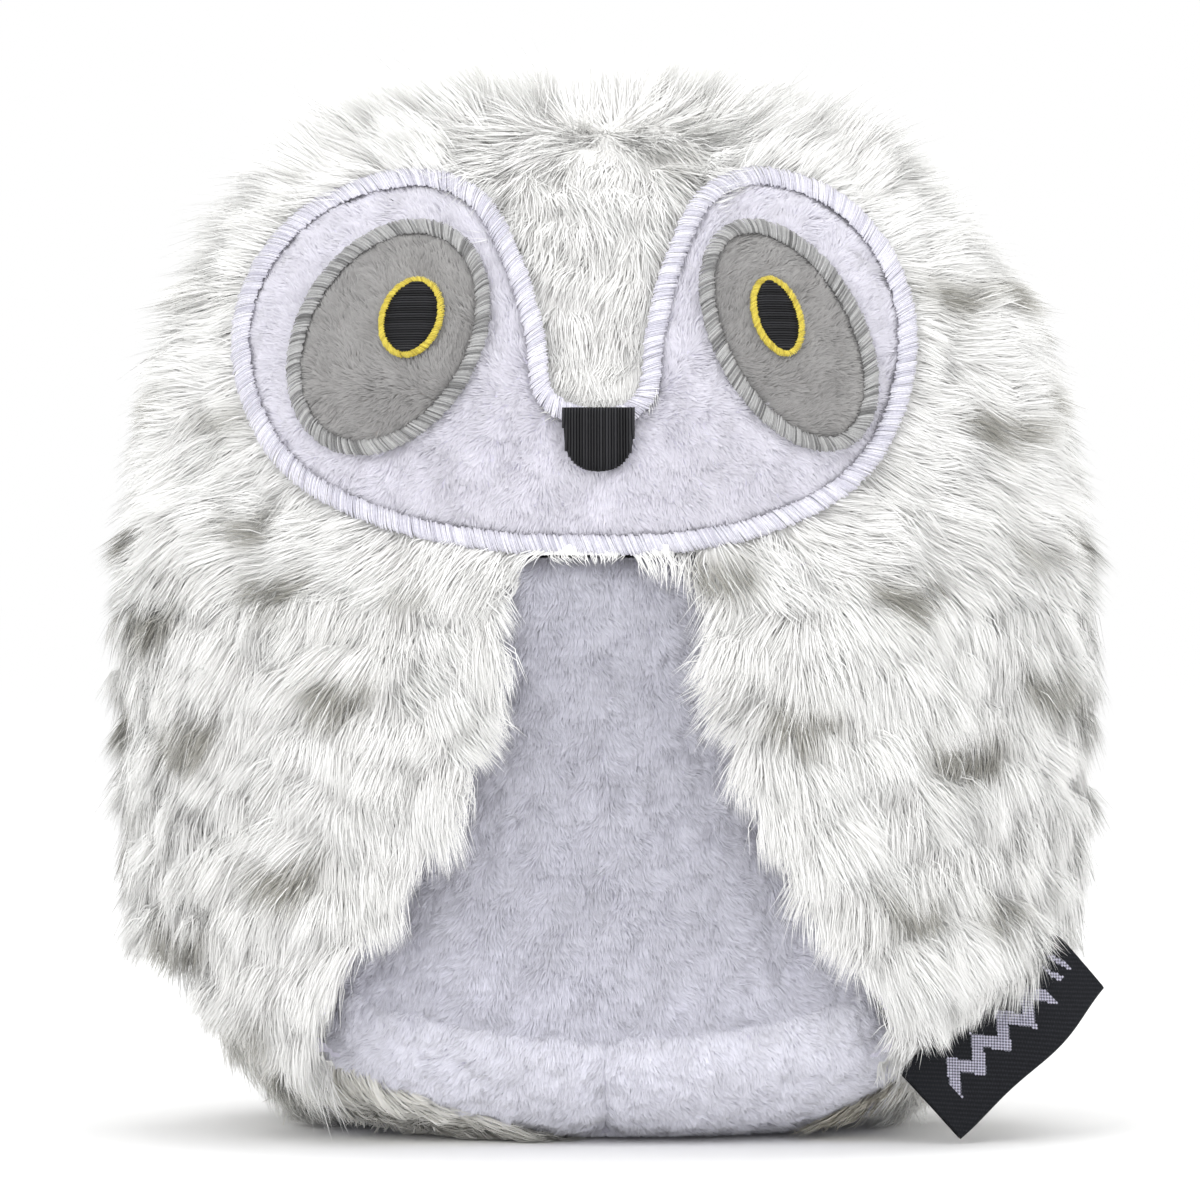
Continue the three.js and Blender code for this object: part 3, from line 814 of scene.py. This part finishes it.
def flank_out(p):
    """The flanks lie deep under the wings, and come out below them."""
    return np.interp(p[..., 2], [18 * MM, 34 * MM], [-1.8 * MM, -5.5 * MM])


def flank_length(p):
    return np.interp(p[:, 2], [9 * MM, 15 * MM], [13 * MM, 8 * MM])


def fur_zone(name, keep, body, replaced, *, out, flow, tint, seed, density, length, lift=0.75, droop=0.1,
             width=0.19 * MM, grid=(220, 150), pull=0.42, wander=0.4):
    """One body's share of the long fur: an undercoat where keep allows it, and the pile that grows on it."""
    ground = body_sheet(keep, lumpy(out, seed), *grid)
    coat = new_object(name + "_undercoat", ground[0], [ground[1]], UNDERCOAT)
    pile = strands(name + "_pile", ground, density * SPARSE, flow, tint, FUR_PILE, seed, length=length,
                   lift=lift, droop=droop, width=width / SPARSE**0.5, segments=2, pull=pull, wander=wander,
                   soft=0.9)
    place((coat, pile), "fur", replaced, body)
    return coat, pile


head = fur_zone("head_front", on_head_front, "toy_body", "head_front_fur", out=head_out, flow=head_flow,
                tint=fur_tint(flecks), seed=11, density=5.3, length=head_length,
                lift=standing(0.85, 0.4), droop=standing(0.4, 0.08))

for side, sign in (("left", -1), ("right", 1)):
    back = fur_zone(f"back_{side}", lambda p: on_back(p) & (p[..., 0] * sign >= 0), "toy_body",
                    f"back_fur_{side}", out=FUR_DEEP, flow=down_and_out, tint=fur_tint(flecks, 1.0),
                    seed=20 + sign, density=4.3, length=12 * MM, width=0.26 * MM, lift=0.8, droop=0.2)
    flank = fur_zone(f"{side}_side", lambda p: on_side(p, sign), "toy_body", f"{side}_side_fur",
                     out=flank_out, flow=under_the_base, tint=fur_tint(flecks, 1.0), seed=30 + sign,
                     density=6.2, length=flank_length, lift=0.5, droop=0.05)

HEM_DRAW = 6 * MM  # how far above the wing's hem its cloth ends, where the fur's tips hang over


def wing_cloth(side):
    """The wing's outline without the room that the fur's tips take at its hem."""
    outline = wing_outline(side)
    drawn = inset(outline, HEM_DRAW)
    low = np.clip((38 * MM - outline[:, 1]) / (14 * MM), 0, 1)[:, None]
    low = np.where((np.abs(outline[:, 0]) > 80 * MM)[:, None], 0, low)
    return outline + (drawn - outline) * low


def wing_out(level, top_level):
    """The wing's cloth draws in towards its top seam and its rear edge."""
    def out(p):
        rear = np.clip(1 - (wing_rear(p[..., 2]) - p[..., 1]) / (12 * MM), 0, 1)
        return np.interp(p[..., 2], [72 * MM, WING_TOP], [level, top_level]) - 2.4 * MM * rear**1.5
    return out


for side, sign in (("left", -1), ("right", 1)):
    cloth = wing_cloth(sign)
    on_cloth = lambda p: (inside(cloth, p[..., 0], p[..., 2]) & (p[..., 1] < wing_rear(p[..., 2]))
                          & (p[..., 0] * sign > 0))
    span = (-math.pi / 2 - 0.1, 0.35) if sign > 0 else (-math.pi - 0.35, -math.pi / 2 + 0.1)
    ground = body_sheet(on_cloth, lumpy(wing_out(4.8 * MM, 2.2 * MM), 40 + sign), 190, 150, span, (0.12, 0.6))
    coat = new_object(f"{side}_wing_undercoat", ground[0], [ground[1]], UNDERCOAT)
    pile = strands(f"{side}_wing_pile", ground, 10.6 * SPARSE, wing_flow(sign), fur_tint(flecks), FUR_PILE,
                   40 + sign, length=wing_length, lift=0.75, droop=0.1, width=0.175 * MM / SPARSE**0.5,
                   segments=2, soft=0.9)
    on_film = lambda p: (on_cloth(p) & (edge_distance(cloth, p[..., 0], p[..., 2]) > 7 * MM)
                         & (p[..., 1] < wing_rear(p[..., 2]) - 3 * MM) & (p[..., 2] < 80 * MM))
    film_level = wing_out(3.35 * MM, 2.2 * MM)
    crinkle = lambda p: film_level(p) + 0.25 * MM * waves(p, 3.5 * MM, 7)
    film_ground = body_sheet(on_film, crinkle, 190, 150, span, (0.12, 0.6))
    film = new_object(f"{side}_wing_crinkle_film", film_ground[0], [film_ground[1]], FILM)
    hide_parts(f"{side}_wing_film")
    lining_ground = body_sheet(on_cloth, wing_out(2.4 * MM, 1.5 * MM), 190, 150, span, (0.12, 0.6))
    lining = new_object(f"{side}_wing_lining_cloth", lining_ground[0], [lining_ground[1]], LAVENDER)
    for piece in (coat, pile, lining, film):
        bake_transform(piece)
    place((coat, pile), "fur", f"{side}_wing_fur")
    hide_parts(f"{side}_wing_lining")


# ---------------------------------------------------------------- plush patches
def patch(outline, spacing, out):
    """Points and triangles inside an outline. out(edge distance, x, z) is how far the patch stands out."""
    low, high = outline.min(axis=0), outline.max(axis=0)
    xs = np.arange(low[0], high[0], spacing)
    zs = np.arange(low[1], high[1], spacing * 0.87)
    gx, gz = np.meshgrid(xs, zs)
    gx = gx + (np.arange(len(zs)) % 2)[:, None] * spacing / 2
    gx, gz = gx.ravel(), gz.ravel()
    keep = inside(outline, gx, gz) & (edge_distance(outline, gx, gz) > spacing * 0.45)
    rim = resample(outline, int(run_length(outline)[-1] / spacing))
    points = np.vstack([rim, np.stack([gx[keep], gz[keep]], axis=-1)])
    ring = [(i, (i + 1) % len(rim)) for i in range(len(rim))]
    flat, _, faces, *_ = geometry.delaunay_2d_cdt([tuple(p) for p in points], ring, [], 1, 1e-7)
    flat = np.array([tuple(p) for p in flat])
    faces = np.array([tuple(f) for f in faces if len(f) == 3])
    x, z = flat[:, 0], flat[:, 1]
    surface, _ = front_surface(x, z, out(edge_distance(outline, x, z), x, z))
    a, b, c = (surface[faces[:, k]] for k in range(3))
    if np.cross(b - a, c - a)[:, 1].sum() > 0:
        faces = faces[:, ::-1]
    return surface, faces


def skirt(points, faces, depth):
    """Adds a wall that runs in from the patch's rim."""
    edges = np.concatenate([faces[:, [0, 1]], faces[:, [1, 2]], faces[:, [2, 0]]])
    pairs = {}
    for a, b in edges:
        pairs[(a, b)] = pairs.get((a, b), 0) + 1
    rim = [(a, b) for a, b in pairs if (b, a) not in pairs]
    normals = point_normals(points, faces)
    ring = sorted({i for pair in rim for i in pair})
    lower = {i: len(points) + k for k, i in enumerate(ring)}
    added = points[ring] - normals[ring] * depth
    walls = [(b, a, lower[a], lower[b]) for a, b in rim]
    return np.vstack([points, added]), np.array(walls)


def nap_on(name, ground, tint, flow, seed, per_mm2=26, length=1.7 * MM, width=0.26 * MM):
    """Short velvety pile: one fine blade for each fibre."""
    return strands(name, ground, per_mm2 * SPARSE, flow, tint, PLUSH_PILE, seed, length=length, lift=0.42,
                   droop=0.42, width=width / SPARSE**0.5, segments=1, wander=0.5, swirl=7 * MM, lock=1.2 * MM,
                   pull=0.25, stray=0.3, soft=0.7)


def plush_patch(name, outline, spacing, out, ground_mat, tint, flow, replaced, slot, seed, depth=2.2 * MM,
                **nap):
    points, faces = patch(outline, spacing, out)
    whole, walls = skirt(points, faces, depth)
    ground = new_object(name, whole, [faces, walls], ground_mat)
    pile = nap_on(name + "_pile", (points, faces), tint, flow, seed, **nap)
    place((ground, pile), slot, replaced)
    return ground, pile


def away_from(x, z, lean=0.0):
    """The nap lies away from a middle, seen from the front, and leans a little to one side."""
    def flow(p, n):
        d = np.zeros_like(p)
        d[:, 0] = (p[:, 0] - x) / (20 * MM) * 0.6 + lean
        d[:, 2] = np.clip((p[:, 2] - z) / (12 * MM), -1, 1)
        return d
    return flow


def crown_out(base, rise, over):
    return lambda d, x, z: base + rise * (1 - np.exp(-d / over))


face_tint = plush_tint((0.68, 0.666, 0.745), (0.77, 0.756, 0.83))
face_piece = plush_patch("face_plush", inset(FACE, STITCH * 0.75), 1.6 * MM,
                         crown_out(-0.6 * MM, 1.6 * MM, 3 * MM), FACE_GROUND, face_tint,
                         away_from(FACE_X, FACE_Z, 0.1), "face_disc", "lavender_plush", 51)
for piece in face_piece:
    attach(piece, "toy_body")

grey_tint = plush_tint((0.28, 0.275, 0.272), (0.395, 0.387, 0.383))
for side in ("left", "right"):
    eye = plush_patch(f"{side}_eye_plush", inset(EYES[side], EYE_STITCH * 0.8), 1.4 * MM,
                      crown_out(1.4 * MM, 1.3 * MM, 3 * MM), GREY, grey_tint, away_from(0, FACE_Z, 0.5),
                      f"{side}_eye_patch", "grey_plush", 60 + len(side))
    for piece in eye:
        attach(piece, "toy_body")


def belly_out(d, x, z):
    """The belly is full in the middle, drawn in at its seams, with soft folds that run down from the chin."""
    seam = -np.interp(z, [20 * MM, 34 * MM], [1.5 * MM, 2.6 * MM]) * np.exp(-d / (3.2 * MM))
    low_down = np.clip((70 * MM - z) / (60 * MM), 0.15, 1)
    fold = 0.9 * MM * np.sin(x / MM * 0.22 + 0.8 * np.sin(z / MM * 0.07)) * low_down
    return -0.4 * MM + seam + fold * (1 - np.exp(-d / (9 * MM)))


belly_tint = plush_tint((0.535, 0.533, 0.605), (0.63, 0.628, 0.705), ribs=0.05)
belly = plush_patch("belly_plush", BELLY, 1.9 * MM, belly_out, LAVENDER, belly_tint,
                    away_from(0, 100 * MM, 0.2),
                    "belly_panel", "lavender_plush", 71, length=2.0 * MM)
for piece in belly:
    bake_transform(piece)


# ---------------------------------------------------------------- base gusset
base_tint = plush_tint((0.645, 0.643, 0.71), (0.755, 0.753, 0.825))


def in_corner(p, sign):
    """Whether the flank's fur shows at the base's front corner, below the plush."""
    x = p[..., 0] * sign
    reach = ([5, 24, 46], [0.4, 6, 15]) if sign < 0 else ([26, 36, 46], [0.4, 5, 11])
    top = np.interp(x, np.array(reach[0]) * MM, np.array(reach[1]) * MM)
    return (p[..., 1] < -18 * MM) & (p[..., 2] < top) & (x > reach[0][0] * MM)


def corner_tint(sign):
    """The fur of the right corner is tan, and that of the left is white."""
    plain = fur_tint(lambda p: np.zeros(len(p)), 1.0)
    shade = np.array([0.72, 0.69, 0.62]) if sign > 0 else np.array([0.97, 0.965, 0.95])
    return lambda points, level, rng: plain(points, level, rng) * shade


def gusset_half(side, sign):
    """A fan of points from the middle of the base to the gusset's edge, drawn in along its seams."""
    from_angle = -math.pi / 2 if sign > 0 else math.pi / 2
    angles = np.linspace(from_angle, from_angle + math.pi, 90)
    ups = np.linspace(0.001, 0.36, 240)
    grid_a, grid_v = np.meshgrid(angles, ups, indexing="ij")
    flat, _ = body_surface(grid_a, grid_v)
    allowed = in_gusset(flat) & ~in_front(BELLY, flat)
    reach = np.array([ups[np.argmin(row)] if not row.all() else ups[-1] for row in allowed])
    rings = 40
    share = np.linspace(0, 1, rings)[None, :]
    v = 0.0005 + share * (reach[:, None] - 0.0005)
    a = np.repeat(angles[:, None], rings, axis=1)
    surface, normal = body_surface(a, v)
    to_edge = (1 - share) * reach[:, None] * 0.2
    centre = np.abs(surface[..., 0])
    stands = surface[..., 2] < 1.0 * MM
    dip = -2.4 * MM * np.exp(-to_edge / (3 * MM)) - 1.2 * MM * np.exp(-centre / (1.5 * MM)) * ~stands
    dip = np.where(stands, np.maximum(dip, -0.6 * MM), dip) - 0.2 * MM
    surface = surface + normal * dip[..., None]
    n, m = len(angles), rings
    i, j = np.meshgrid(np.arange(n - 1), np.arange(m - 1), indexing="ij")
    i, j = i.ravel(), j.ravel()
    quads = np.stack([i * m + j, (i + 1) * m + j, (i + 1) * m + j + 1, i * m + j + 1], axis=-1)
    return surface.reshape(-1, 3), quads


for side, sign in (("left", -1), ("right", 1)):
    ground = gusset_half(side, sign)
    cover = new_object(f"{side}_base_plush", ground[0], [ground[1]], LAVENDER)
    p, f = ground
    centres = p[f].mean(axis=1)
    furred = in_corner(centres, sign)
    pile_ground = used_only(p, f[(centres[:, 2] > 0.8 * MM) & ~furred])
    corner = strands(f"{side}_corner_fur", used_only(p, f[furred]), 7 * SPARSE, under_the_base,
                     corner_tint(sign),
                     FUR_PILE, 84 + sign, length=6 * MM, lift=0.5, droop=0.1, width=0.24 * MM / SPARSE**0.5)
    place([corner], "fur", f"{side}_side_fur", "toy_body")
    pile = nap_on(f"{side}_base_plush_pile", pile_ground, base_tint, away_from(0, 60 * MM), 80 + sign)
    for piece in (cover, pile):
        place([piece], "lavender_plush", f"base_gusset_{side}", "toy_body")


# ---------------------------------------------------------------- embroidery
def threads(name, starts, ends, normals, radius, bulge, mat, shades, rng, segments=4, sides=4):
    """One mesh of short threads, each a fine tube that rises in the middle and sinks at its ends, and each of
    its own shade between the two."""
    count = len(starts)
    share = np.linspace(0, 1, segments + 1)
    along = ends - starts
    ahead = unit(along)
    across = unit(np.cross(ahead, normals))
    up = np.cross(across, ahead)
    rise = (1 - (2 * share - 1) ** 4) * bulge
    middle = starts[:, None] + along[:, None] * share[None, :, None] + up[:, None] * rise[None, :, None]
    angle = np.linspace(0, 2 * math.pi, sides, endpoint=False)
    cos, sin = np.cos(angle)[None, None, :, None], np.sin(angle)[None, None, :, None]
    ring = cos * across[:, None, None] + sin * up[:, None, None]
    vertices = middle[:, :, None] + ring * np.broadcast_to(radius, (count,))[:, None, None, None]
    per = (segments + 1) * sides
    base = (np.arange(count) * per)[:, None, None, None]
    k = np.arange(segments)[None, :, None, None] * sides
    s = np.arange(sides)[None, None, :, None]
    t = (s + 1) % sides
    quads = np.concatenate([base + k + s, base + k + t, base + k + sides + t, base + k + sides + s], axis=-1)
    foot = (np.arange(count) * per)[:, None] + np.arange(sides)[None, ::-1]
    head_cap = (np.arange(count) * per)[:, None] + segments * sides + np.arange(sides)[None, :]
    obj = new_object(name, vertices, [quads.reshape(-1, 4), foot, head_cap], mat)
    dark, light = np.array(shades[0]), np.array(shades[1])
    paint(obj, (dark + (light - dark) * rng.random(count)[:, None] ** 0.8)[:, None], per)
    return obj


def border(name, outline, wide, pitch, low, bulge, radius, mat, shades, replaced, slot, seed, slant=2.2):
    """Satin stitch round an outline: threads side by side, each from the border's outer to its inner edge."""
    rng = np.random.default_rng(seed)
    count = int(run_length(outline)[-1] / pitch)
    middle = resample(inset(outline, wide / 2), count)
    out = outward(middle)
    along = np.stack([-out[:, 1], out[:, 0]], axis=-1)
    reach = wide / 2 * rng.uniform(0.84, 1.12, (2, count))
    outer = middle + out * reach[0][:, None] + along * slant * pitch
    inner = middle - out * reach[1][:, None] - along * slant * pitch
    starts, _ = front_surface(outer[:, 0], outer[:, 1], low)
    ends, _ = front_surface(inner[:, 0], inner[:, 1], low)
    _, normals = front_surface(middle[:, 0], middle[:, 1], low)
    radii = radius * rng.uniform(0.8, 1.15, count)
    piece = threads(name, starts, ends, normals, radii, bulge, mat, shades, rng)
    place([piece], slot, replaced, "toy_body")
    return piece


def fill_stitch(name, outline, pitch, low, bulge, radius, replaced, seed, upright=False, stitch=3.2 * MM):
    """Rows of stitches side by side that fill an outline."""
    rng = np.random.default_rng(seed)
    axis, other = (1, 0) if upright else (0, 1)
    low_edge, high_edge = outline.min(axis=0), outline.max(axis=0)
    starts, ends = [], []
    for row in np.arange(low_edge[other] + pitch / 2, high_edge[other], pitch):
        fine = np.linspace(low_edge[axis], high_edge[axis], 200)
        probe = np.full(200, row)
        hit = inside(outline, fine, probe) if axis == 0 else inside(outline, probe, fine)
        if not hit.any():
            continue
        a, b = fine[hit][0], fine[hit][-1]
        pieces = max(1, round((b - a) / stitch))
        cuts = np.linspace(a, b, pieces + 1)
        cuts[1:-1] += rng.uniform(-0.25, 0.25, pieces - 1) * stitch
        for s, e in zip(cuts, cuts[1:]):
            starts.append((s, row) if axis == 0 else (row, s))
            ends.append((e, row) if axis == 0 else (row, e))
    starts, ends = np.array(starts), np.array(ends)
    points, faces = patch(outline, 1.2 * MM, lambda d, x, z: low - 0.1 * MM)
    under = new_object(name + "_under", points, [faces], BLACK_CLOTH)
    p, _ = front_surface(starts[:, 0], starts[:, 1], low)
    q, _ = front_surface(ends[:, 0], ends[:, 1], low)
    _, normals = front_surface(*((starts + ends) / 2).T, low)
    piece = threads(name, p, q, normals, radius * rng.uniform(0.8, 1.15, len(p)), bulge, BLACK_THREAD,
                    BLACK_SHADES, rng)
    for made in (piece, under):
        place([made], "black_thread", replaced, "toy_body")


border("face_border_stitch", FACE, STITCH, 0.27 * MM, 0.9 * MM, 0.42 * MM, 0.15 * MM,
       PALE_THREAD, LAVENDER_SHADES,
       "face_border", "lavender_thread", 91)
for side in ("left", "right"):
    border(f"{side}_eye_border_stitch", EYES[side], EYE_STITCH, 0.25 * MM, 2.5 * MM, 0.45 * MM, 0.14 * MM,
           PALE_THREAD, GREY_SHADES, f"{side}_eye_border", "grey_thread", 92)
    border(f"{side}_iris_stitch", IRISES[side], IRIS_STITCH * 0.85, 0.28 * MM, 3.7 * MM, 0.35 * MM, 0.14 * MM,
           PALE_THREAD, YELLOW_SHADES, f"{side}_iris_ring", "yellow_thread", 93, slant=1.2)
    fill_stitch(f"{side}_pupil_stitch", inset(IRISES[side], IRIS_STITCH * 0.6), 0.36 * MM, 3.8 * MM, 0.3 * MM,
                0.22 * MM, f"{side}_pupil", 94, stitch=9 * MM)


def beak_outline():
    """Straight at the top, round below."""
    t = np.linspace(0, math.pi, 30)
    bowl = np.stack([5.0 * power(np.cos(t), 0.9), 105.2 - 5.0 * power(np.sin(t), 0.9)], axis=-1)
    loop = np.vstack([[(5.3, 109.6)], bowl, [(-5.3, 109.6)]])
    loop[:, 0] += FACE_X / MM
    return loop * MM


fill_stitch("beak_stitch", beak_outline(), 0.42 * MM, 2.6 * MM, 0.6 * MM, 0.25 * MM, "beak", 95, upright=True,
            stitch=12 * MM)

# ---------------------------------------------------------------- pieces that keep their CAD shape
PLAIN_LOOKS = {
    "face_backing": FELT, "squeaker_pouch": FELT,
    "squeaker_front_plate": PLASTIC, "squeaker_rear_plate": PLASTIC,
    "reed_plug": PLASTIC, "reed_seat": PLASTIC, "reed_tongue": FILM, "left_wing_seam_strip": LAVENDER,
    "right_wing_seam_strip": LAVENDER,
}
for name, look in PLAIN_LOOKS.items():
    NODES[name].data.materials.clear()
    NODES[name].data.materials.append(look)


def stuffing(name, node_name, body, draw_in, seed):
    """A soft closed copy of a filling, a little smaller, with the lumps of loose fibre."""
    copy = bpy.data.objects.new(name, NODES[node_name].data.copy())
    bpy.context.scene.collection.objects.link(copy)
    remesh = copy.modifiers.new("remesh", "REMESH")
    remesh.voxel_size = 3.5 * MM
    smooth = copy.modifiers.new("smooth", "SMOOTH")
    smooth.iterations = 6
    evaluated = copy.evaluated_get(bpy.context.evaluated_depsgraph_get())
    mesh = bpy.data.meshes.new_from_object(evaluated)
    copy.modifiers.clear()
    copy.data = mesh
    co, normals = np.zeros(len(mesh.vertices) * 3), np.zeros(len(mesh.vertices) * 3)
    mesh.vertices.foreach_get("co", co)
    mesh.vertices.foreach_get("normal", normals)
    co, normals = co.reshape(-1, 3), normals.reshape(-1, 3)
    co = co - normals * (draw_in + 0.5 * MM * waves(co, 11 * MM, seed))[:, None]
    mesh.vertices.foreach_set("co", co.ravel())
    mesh.polygons.foreach_set("use_smooth", np.full(len(mesh.polygons), True))
    mesh.materials.clear()
    mesh.materials.append(FILLING)
    mesh.update()
    place([copy], "filling", node_name, body)


stuffing("head_stuffing", "head_filling", "toy_body", 1.0 * MM, 101)
stuffing("body_stuffing", "body_filling", "toy_body", 1.6 * MM, 102)
stuffing("belly_stuffing", "belly_filling", "belly_press", 1.0 * MM, 103)


def bellows():
    """A thin concertina between the squeaker's plates, the part that flattens in the toy as the belly is
    pressed; here it moves with the toy's body.
    """
    (x0, y0, z0), (x1, y1, z1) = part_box("squeaker_bellows")
    middle_x, middle_z, big = (x0 + x1) / 2, (z0 + z1) / 2, (z1 - z0) / 2
    pleats, wall, around = 4, 0.45 * MM, 72
    y = np.linspace(y0, y1, pleats * 8 + 1)
    swing = np.abs(((y - y0) / (y1 - y0) * pleats) % 1 - 0.5) * 2
    outer = big - 2.6 * MM * swing
    profile = [*zip(outer, y), *zip(outer[::-1] - wall, y[::-1])]
    angle = np.linspace(0, 2 * math.pi, around, endpoint=False)
    points = np.array([(middle_x + r * math.cos(t), py, middle_z + r * math.sin(t))
                       for t in angle for r, py in profile])
    n = len(profile)
    i, j = (g.ravel() for g in np.meshgrid(np.arange(around), np.arange(n), indexing="ij"))
    i2, j2 = (i + 1) % around, (j + 1) % n
    quads = np.stack([i * n + j, i * n + j2, i2 * n + j2, i2 * n + j], axis=-1)
    piece = new_object("squeaker_concertina", points, [quads], PLASTIC)
    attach(piece, "toy_body")
    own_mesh(piece)
    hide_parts("squeaker_bellows")


bellows()


# ---------------------------------------------------------------- label
def label_material():
    return tinted_material("label_weave", 0.7, 2600.0, (0.75, 0.75, 0.75), detail=1.0,
                           bumps=(3600.0, 1.0, 0.5, 0.12 * MM), Specular_IOR_Level=0.15)


def label_axes():
    """The label's middle and its directions along, across to its fold, and out, taken from its CAD solid."""
    points = np.array([list(v.co) for v in NODES["woven_label"].data.vertices])
    middle = points.mean(axis=0)
    _, _, axes = np.linalg.svd(points - middle, full_matrices=False)
    along, across, out = axes
    along, across, out = along * np.sign(along[2]), across * np.sign(across[0]), -out * np.sign(out[1])
    spans = [(points - middle) @ axis for axis in (along, across, out)]
    centre = middle + sum(axis * (s.min() + s.max()) / 2 for axis, s in zip((along, across, out), spans))
    return centre, (along, across, out), [(s.max() - s.min()) / 2 for s in spans]


LABEL_CELL = 0.3 * MM
PLY_HALF = 0.12 * MM


def motif(u, v):
    """Whether the light yarn shows, at mm along and across: a broad zigzag and two short slanting dashes."""
    zigzag = v - 3.4 - 1.25 * np.abs((u + 12.2) % 5.2 - 2.6)
    in_zigzag = (zigzag > 0) & (zigzag < 2.9) & (np.abs(u + 1.8) < 10.4)
    dash = np.abs((u - 11.2 - 0.35 * (v - 6)) % 2.4 - 1.2)
    in_dash = (dash > 0.75) & (u > 10.6) & (u < 14) & (v > 3.6) & (v < 7.5)
    return in_zigzag | in_dash


def make_label():
    centre, (along, across, out), (half_long, half_wide, half_thick) = label_axes()
    loop = half_thick - PLY_HALF
    flat = 2 * half_wide - half_thick
    fold = math.pi * loop
    lengthwise = round(2 * half_long / LABEL_CELL)
    crosswise = round((2 * flat + fold) / LABEL_CELL)
    u = np.linspace(-half_long, half_long, lengthwise + 1)[:, None]
    w = np.linspace(0, 2 * flat + fold, crosswise + 1)[None, :]
    turn = np.clip((w - flat) / loop, 0, math.pi)
    past = np.clip(w - flat - fold, 0, None)
    reach = np.minimum(w, flat) + loop * np.sin(turn) - past
    high = loop * np.cos(turn)
    wave = (0.9 * np.sin(u / half_long * 3.6 + 0.6) - 1.2 * (u / half_long) ** 2) * (reach / flat) ** 1.5 * MM
    bow = (0.7 * np.cos(u / half_long * 1.5) + 0.25 * np.sin(u / half_long * 5)) * (reach / flat) ** 2 * MM
    normal_a, normal_o = np.sin(turn), np.cos(turn)
    layers = []
    for push in (PLY_HALF, -PLY_HALF):
        a = reach - half_wide + normal_a * push + bow
        o = high + wave + normal_o * push
        layers.append(centre + u[..., None] * along + a[..., None] * across + o[..., None] * out)
    rows, columns = lengthwise + 1, crosswise + 1
    i, j = (g.ravel() for g in np.meshgrid(np.arange(lengthwise), np.arange(crosswise), indexing="ij"))
    outer = grid_quads(rows, columns)
    inner = outer[:, ::-1] + rows * columns
    rim = np.concatenate([np.arange(columns), np.arange(1, rows) * columns + columns - 1,
                          (rows - 1) * columns + np.arange(columns - 2, -1, -1),
                          np.arange(rows - 2, 0, -1) * columns])
    after = np.roll(rim, -1)
    edge = np.stack([rim, after, after + rows * columns, rim + rows * columns], axis=-1)
    points = np.concatenate([layer.reshape(-1, 3) for layer in layers])
    label = new_object("woven_label_loop", points, [outer, inner, edge], label_material())

    mid_u = (i + 0.5) * LABEL_CELL / MM - half_long / MM
    mid_w = (j + 0.5) * LABEL_CELL / MM
    back = mid_w > (flat + fold) / MM
    across_mm = np.where(back, (2 * flat + fold) / MM - mid_w, mid_w)
    light = motif(mid_u, across_mm) & ((i + j) % 2 == 0)
    near = motif(mid_u, across_mm) & ~light
    shade = np.where(((i + 2 * j) % 3 == 0)[:, None], (0.016, 0.017, 0.021), (0.008, 0.009, 0.012))
    shade = np.where(light[:, None], (0.50, 0.49, 0.60), np.where(near[:, None], (0.13, 0.13, 0.16), shade))
    at_fold = np.abs(mid_w - (flat + fold / 2) / MM) < 0.3
    shade = np.where(at_fold[:, None], (0.10, 0.075, 0.05), shade)
    faces = np.concatenate([shade, shade, np.full((len(edge), 3), 0.01)])
    paint(label, faces[:, None], 4, "CORNER")
    place([label], "label_cloth", "woven_label", "label")


make_label()


# ---------------------------------------------------------------- floor, light and camera
def floor():
    """A white floor, wide enough to meet the white surroundings far off."""
    mat, tree, shader = material("floor_paper", (1, 1, 1), 1.0, Specular_IOR_Level=0.0)
    size = 40.0
    points = [(-size, -size, 0), (size, -size, 0), (size, size, 0), (-size, size, 0)]
    new_object("floor", points, [np.array([[0, 1, 2, 3]])], mat)


def area_light(name, place, target, size, power_w):
    data = bpy.data.lights.new(name, "AREA")
    data.shape = "DISK"
    data.size = size
    data.energy = power_w
    obj = bpy.data.objects.new(name, data)
    bpy.context.scene.collection.objects.link(obj)
    obj.location = place
    aim(obj, target)


def aim(obj, target):
    obj.rotation_euler = (Vector(target) - Vector(obj.location)).to_track_quat("-Z", "Y").to_euler()


MIDDLE = (0, 0, (CAD_BOX[0][2] + CAD_BOX[1][2]) / 2)
floor()
area_light("key", (-0.45, -0.75, 0.75), MIDDLE, 0.8, 3.3)
area_light("fill", (0.8, -0.7, 0.35), MIDDLE, 0.8, 1.65)
area_light("low", (-0.1, -1.0, 0.06), (0, 0, 0.03), 0.5, 1.8)
area_light("top", (0.1, 0.1, 0.95), MIDDLE, 0.7, 2.2)

world = bpy.data.worlds.new("studio")
world.use_nodes = True
world.node_tree.nodes["Background"].inputs["Color"].default_value = (1, 1, 1, 1)
world.node_tree.nodes["Background"].inputs["Strength"].default_value = 1.0
bpy.context.scene.world = world
bpy.context.scene.view_settings.view_transform = "Standard"

camera_data = bpy.data.cameras.new("camera")
camera_data.lens = 180
camera_data.sensor_width = 36
camera = bpy.data.objects.new("camera", camera_data)
bpy.context.scene.collection.objects.link(camera)
FRAME_WIDE = 0.180  # what the picture spans at the middle of the toy
distance = FRAME_WIDE * camera_data.lens / camera_data.sensor_width
camera.location = (-0.0008, -distance - 0.03, 0.0815)
camera.rotation_euler = (math.pi / 2, 0, 0)
bpy.context.scene.camera = camera
